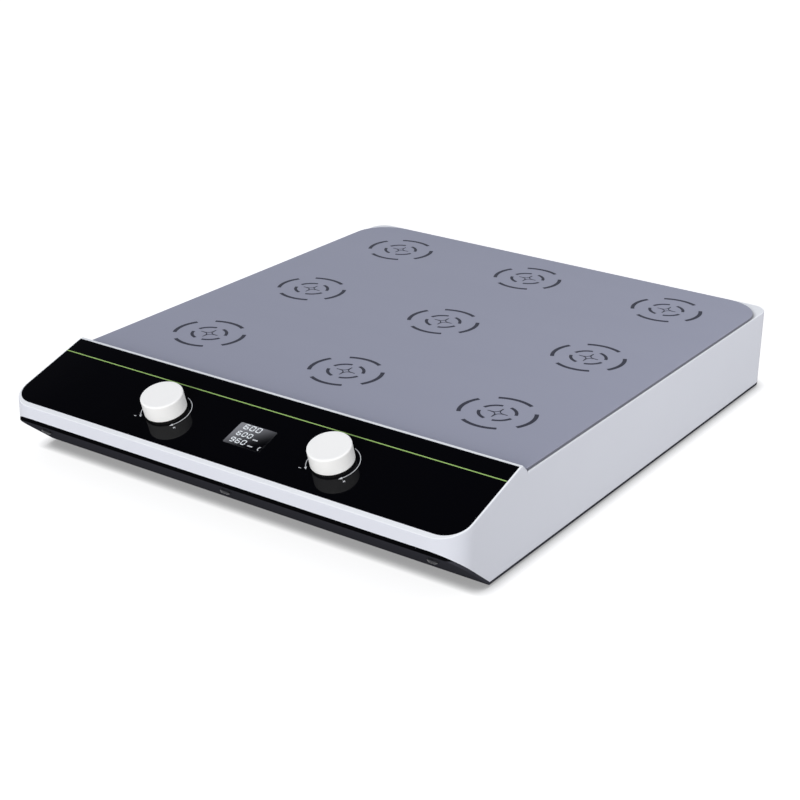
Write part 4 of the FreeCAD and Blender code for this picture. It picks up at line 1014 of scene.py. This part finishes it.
@dataclass
class Display:
    """Rows of lit digits on the smoked window, with short bars and a small arc beside them."""

    BARS = {"0": "abcdef", "6": "acdefg", "9": "abcdfg"}

    plane: Plane
    rows: tuple[Row, ...] = (
        Row("600", -3.8 * MM, 28.1 * MM, 4.1 * MM, 2.5 * MM, 3.4 * MM),
        Row("600", -4.4 * MM, 33.8 * MM, 3.6 * MM, 2.2 * MM, 3.1 * MM, (8.6 * MM, 35.5 * MM)),
        Row("960", -4.7 * MM, 39.3 * MM, 3.7 * MM, 2.3 * MM, 3.2 * MM, (8.9 * MM, 40.6 * MM)),
    )
    stroke: float = 0.55 * MM
    gap_share: float = 0.4
    lean: float = 0.05
    tick_length: float = 3.2 * MM
    tick_width: float = 0.8 * MM
    moon: Point = (15.8 * MM, -40.4 * MM)
    moon_radius: float = 1.5 * MM
    moon_ends: Range = (115.0, 245.0)
    # painted reflection on the smoked film
    film_reflection: Colour = (0.28, 0.28, 0.295)
    film_dark: Colour = (0.0016, 0.0016, 0.0026)
    fade_across: float = 0.65
    fade_down: float = 1.1

    def build(self) -> None:
        """Dress the window and add its digits."""
        low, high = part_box("display_window")
        corner = Vector((low.x, high.y, high.z))
        fade = Vector((self.fade_across * (high.x - low.x), self.fade_down * (low.y - high.y), 0.0))
        film = Smoked("smoked_film", self.film_reflection, self.film_dark, corner, fade)
        dress(film, "display_window")
        dress(BLACK_PLASTIC, "display_module")
        digits = Print("display_digits", self.plane, DIGIT_LIGHT, "housing")
        ticks = Print("display_ticks", self.plane, PALE_INK, "housing")
        for row in self.rows:
            for index, digit in enumerate(row.digits):
                self.digit(digits, digit, row, row.left + row.pitch * index)
            if row.tick is not None:
                middle_x, drop = row.tick
                half = self.tick_length / 2
                ticks.strip([(middle_x - half, -drop), (middle_x + half, -drop)], self.tick_width)
        ticks.arc(self.moon, self.moon_radius, *self.moon_ends, self.stroke)
        digits.done()
        ticks.done()

    def digit(self, ink: Print, digit: str, row: Row, left: float) -> None:
        """Add one seven-bar digit.

        Args:
            ink: The print to fill.
            digit: Which digit.
            row: The row that it stands in.
            left: Its left side on the face.
        """
        half = row.height / 2
        wide = row.width
        gap = self.stroke * self.gap_share
        ends = {
            "a": ((gap, half), (wide - gap, half)),
            "b": ((wide, half - gap), (wide, gap)),
            "c": ((wide, -gap), (wide, gap - half)),
            "d": ((gap, -half), (wide - gap, -half)),
            "e": ((0.0, -gap), (0.0, gap - half)),
            "f": ((0.0, half - gap), (0.0, gap)),
            "g": ((gap, 0.0), (wide - gap, 0.0)),
        }
        for bar in self.BARS[digit]:
            points = [(left + x + self.lean * y, y - row.drop) for x, y in ends[bar]]
            ink.strip(points, self.stroke)


@dataclass
class Knobs:
    """The two dial knobs and the encoders under them."""

    names: tuple[str, ...] = ("time", "speed")

    def build(self) -> None:
        """Dress both knobs and encoders."""
        dress(WHITE_KNOB, *(f"{name}_knob" for name in self.names))
        dress(ALUMINIUM, *(f"{name}_shaft" for name in self.names))
        dress(GREY_PLASTIC, *(f"{name}_encoder" for name in self.names))
        dress(GREY_PLASTIC, *(f"{name}_detent_drum" for name in self.names))
        dress(NICKEL, "encoder_nuts")


@dataclass
class PowerSide:
    """The mains inlet and the rocker switch at the back, with the switch's on and off signs.

    A face of the rocker looks outward when its normal's Y is above a limit, and two such faces
    lie on different halves when their normals are a bend apart.
    """

    sign_size: float = 2.8 * MM
    sign_width: float = 0.5 * MM
    signs: int = 2
    outward: float = 0.7
    bend: float = 0.1
    flatness: float = 0.05 * MM

    def build(self) -> None:
        """Dress the inlet and the switch and print the rocker's signs."""
        dress(BLACK_PLASTIC, "mains_inlet", "switch_frame", "switch_rocker")
        dress(BRASS, "inlet_pins")
        dress(ZINC, "inlet_screws")
        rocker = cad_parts["switch_rocker"].data
        faces = [face for face in rocker.polygons if face.normal.y > self.outward]
        normals: list[Vector] = []
        for face in sorted(faces, key=lambda face: -face.area):
            if all((face.normal - seen).length > self.bend for seen in normals):
                normals.append(face.normal.copy())
                self.sign(face, len(normals))
            if len(normals) == self.signs:
                break

    def sign(self, face: bpy.types.MeshPolygon, count: int) -> None:
        """Print the on sign, a bar, or the off sign, a ring, on one half of the rocker.

        Args:
            face: A face on that half.
            count: 1 for the first half and 2 for the second.
        """
        normal = face.normal.copy()
        across = Vector((-1, 0, 0))
        along = normal.cross(across)
        corners = [vertex.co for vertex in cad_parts["switch_rocker"].data.vertices]
        near = [co for co in corners if abs((co - face.center).dot(normal)) < self.flatness]
        centre = sum(near, Vector()) / len(near)
        centre.x = middle("switch_rocker").x
        ink = Print(f"switch_sign_{count}", Plane(centre, across, along), PALE_INK, "switch_rocker")
        half = self.sign_size / 2
        if centre.z > middle("switch_rocker").z:
            ink.strip([(0.0, -half), (0.0, half)], self.sign_width)
        else:
            for start in (0.0, 2 * QUARTER_TURN):
                ink.arc((0.0, 0.0), half, start, start + 2 * QUARTER_TURN, self.sign_width)
        ink.done()


@dataclass
class Workings:
    """What the closed housing hides: motors, magnet carriers, boards and their fastenings.

    Parts are dark above a height, which is out of reach on the control board.
    """

    mask: Colour = (0.01, 0.09, 0.03)
    track: Colour = (0.05, 0.22, 0.09)
    part: Colour = (0.03, 0.03, 0.035)
    board: float = 1.6 * MM
    part_lift: float = 0.05 * MM
    out_of_reach: float = 1.0

    def build(self) -> None:
        """Dress the inner pieces."""
        numbers = range(1, PLACES + 1)
        dress(ZINC, *(f"motor_{number}" for number in numbers))
        dress(ALUMINIUM, *(f"magnet_carrier_{number}" for number in numbers), "motor_plate")
        dress(NICKEL, *(f"magnets_{number}" for number in numbers))
        dress(BRASS, "plate_pillars")
        dress(ZINC, "motor_screws", "pillar_screws", "power_board_screws", "control_board_screws")
        board_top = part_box("power_supply")[0].z + self.board
        colours = self.mask, self.track, self.part
        power = Circuit("power_board", *colours, board_top + self.part_lift)
        dress(power, "power_supply", "motor_driver")
        dress(Circuit("control_board", *colours, self.out_of_reach), "control_board")


@dataclass
class PhotoCamera:
    """The camera as solved from the photograph, about the middle place on the plate's top."""

    azimuth: float = 34.1713
    elevation: float = 22.9205
    roll: float = 0.879
    lens: float = 77.73
    sensor: float = 36.0
    near: float = 0.01
    far: float = 50.0
    offset: Vector = field(default_factory=lambda: Vector((0.02618, 0.04767, 1.04718)))

    def build(self) -> None:
        """Add the camera and make it the scene's own."""
        azimuth, elevation = math.radians(self.azimuth), math.radians(self.elevation)
        roll = math.radians(self.roll)
        back = Vector((
            math.sin(azimuth) * math.cos(elevation),
            -math.cos(azimuth) * math.cos(elevation),
            math.sin(elevation),
        ))
        level = Vector((math.cos(azimuth), math.sin(azimuth), 0.0))
        upright = back.cross(level)
        right = math.cos(roll) * level + math.sin(roll) * upright
        up = -math.sin(roll) * level + math.cos(roll) * upright
        target = middle("motor_5")
        target.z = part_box("top_plate")[1].z
        turn = Matrix((right, up, back)).transposed()
        data = bpy.data.cameras.new("photo_camera")
        data.lens = self.lens
        data.sensor_width = self.sensor
        data.clip_start = self.near
        data.clip_end = self.far
        camera = add_object("photo_camera", data)
        eye = target + turn @ Vector((-self.offset.x, -self.offset.y, self.offset.z))
        camera.matrix_world = Matrix.Translation(eye) @ turn.to_4x4()
        bpy.context.scene.camera = camera
        LOG.info("camera at %s", tuple(round(value, 4) for value in camera.location))


@dataclass(frozen=True)
class SoftBox:
    """A square soft lamp near the object. A white face in the middle gets its level."""

    name: str
    level: float
    place: tuple[float, float, float]
    size: float

    def build(self) -> None:
        """Add the lamp, turned to the middle of the frame."""
        data = bpy.data.lights.new(self.name, "AREA")
        data.shape = "SQUARE"
        data.size = self.size
        reach = Vector(self.place)
        data.energy = self.level * math.pi ** 2 * reach.length_squared
        lamp = add_object(self.name, data)
        lamp.location = reach
        lamp.rotation_euler = reach.to_track_quat("Z", "Y").to_euler()


@dataclass(frozen=True)
class Lamp:
    """A distant soft lamp without glare. A white face square to it gets its level."""

    name: str
    level: float
    direction: tuple[float, float, float]
    angle: float

    def build(self) -> None:
        """Add the lamp."""
        data = bpy.data.lights.new(self.name, "SUN")
        data.energy = self.level * math.pi
        data.angle = math.radians(self.angle)
        lamp = add_object(self.name, data)
        lamp.rotation_euler = Vector(self.direction).to_track_quat("Z", "Y").to_euler()
        lamp.visible_glossy = False


@dataclass
class Studio:
    """A white floor and backdrop, an even dome of light, a soft box at the right and a front lamp.

    The floor's fill is what the camera sees on it besides the lamps' light, less where the object
    stands on it, which is a painted contact shadow. The ceiling shows in gloss only, and its rise
    is where it begins and ends.
    """

    dome: float = 0.50
    dome_colour: Colour = (0.94, 0.97, 1.06)
    backdrop: Colour = (1.0, 1.0, 1.0)
    ceiling: float = 0.05
    ceiling_rise: Range = (0.35, 0.68)
    side_lamp: SoftBox = SoftBox("side_lamp", 0.155, (0.43, 0.06, 0.34), 0.35)
    front_lamp: Lamp = Lamp("front_lamp", 0.66, (0.28, -0.94, 0.20), 30.0)
    floor_size: float = 12.0
    floor_colour: Colour = (0.36, 0.36, 0.36)
    floor_roughness: float = 0.9
    floor_fill: float = 0.86
    paper: float = 4 * MM
    paper_tint: float = 1.01
    # painted contact shadow on the floor near the object
    contact_shadow_reach: float = 8.5 * MM
    contact_shadow_level: float = 0.3
    contact_shadow_open: Range = (0.4, 1.0)

    def build(self) -> None:
        """Add the floor, the dome and the lamps."""
        bpy.context.scene.view_settings.view_transform = "Standard"
        self.floor()
        self.sky()
        self.side_lamp.build()
        self.front_lamp.build()

    def floor(self) -> None:
        """Add the floor."""
        half = self.floor_size / 2
        mesh = bpy.data.meshes.new("floor")
        corners = [(-half, -half, 0), (half, -half, 0), (half, half, 0), (-half, half, 0)]
        mesh.from_pydata(corners, [], [(0, 1, 2, 3)])
        mesh.materials.append(self.floor_material())
        floor = add_object("floor", mesh)

    def floor_material(self) -> bpy.types.Material:
        """Build the floor's material: white to the camera, with the shadow and a painted contact
        shadow.

        Returns:
            The material.
        """
        surface = Surface("white_floor")
        surface.set(Roughness=self.floor_roughness, Specular_IOR_Level=0.0)
        tints = 1.0, self.paper_tint
        surface.paint(surface.vary(surface.noise(self.paper, 3.0), self.floor_colour, *tints))
        rays = surface.add("ShaderNodeLightPath").outputs
        seen = surface.combine("MAXIMUM", rays["Is Camera Ray"], rays["Is Glossy Ray"])
        seen = surface.combine("MAXIMUM", seen, rays["Is Transmission Ray"])
        # painted contact shadow: the fill falls where the object crowds round the floor
        clear = surface.openness(self.contact_shadow_reach, self.contact_shadow_level, *self.contact_shadow_open)
        shown = surface.combine("MULTIPLY", clear, seen)
        fill = surface.add("ShaderNodeEmission")
        surface.feed(fill.inputs["Strength"], surface.remap(shown, 0.0, self.floor_fill))
        both = surface.add("ShaderNodeAddShader")
        surface.feed(both.inputs[0], surface.shader.outputs["BSDF"])
        surface.feed(both.inputs[1], fill.outputs["Emission"])
        surface.feed(surface.output.inputs["Surface"], both.outputs["Shader"])
        return surface.material

    def sky(self) -> None:
        """Light the world evenly, white to the camera, and mirror a dark ceiling over it."""
        world = bpy.data.worlds.new("white_room")
        bpy.context.scene.world = world
        world.use_nodes = True
        graph = Graph(world.node_tree)
        height = graph.height_of(graph.add("ShaderNodeTexCoord").outputs["Generated"])
        mirrored = graph.remap(height, 1.0, self.ceiling, *self.ceiling_rise)
        rays = graph.add("ShaderNodeLightPath").outputs
        gloss = graph.combine("MAXIMUM", rays["Is Glossy Ray"], rays["Is Transmission Ray"])
        light = graph.remap(gloss, self.dome, mirrored)
        seen = rays["Is Camera Ray"]
        background = graph.add("ShaderNodeBackground")
        graph.feed(background.inputs["Color"], graph.mix(seen, self.dome_colour, self.backdrop))
        graph.feed(background.inputs["Strength"], graph.remap(seen, light, 1.0))
        output = graph.add("ShaderNodeOutputWorld")
        graph.feed(output.inputs["Surface"], background.outputs["Background"])


def main() -> None:
    """Build the whole scene."""
    logging.basicConfig(level=logging.INFO, format="%(message)s")
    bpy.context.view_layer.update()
    panel = ControlPanel()
    for part in (
        PhotoCamera(), Studio(), Housing(), WorkPlate(), panel, Display(panel.plane), Knobs(),
        PowerSide(), Workings(),
    ):
        part.build()


if __name__ == "__main__":
    main()
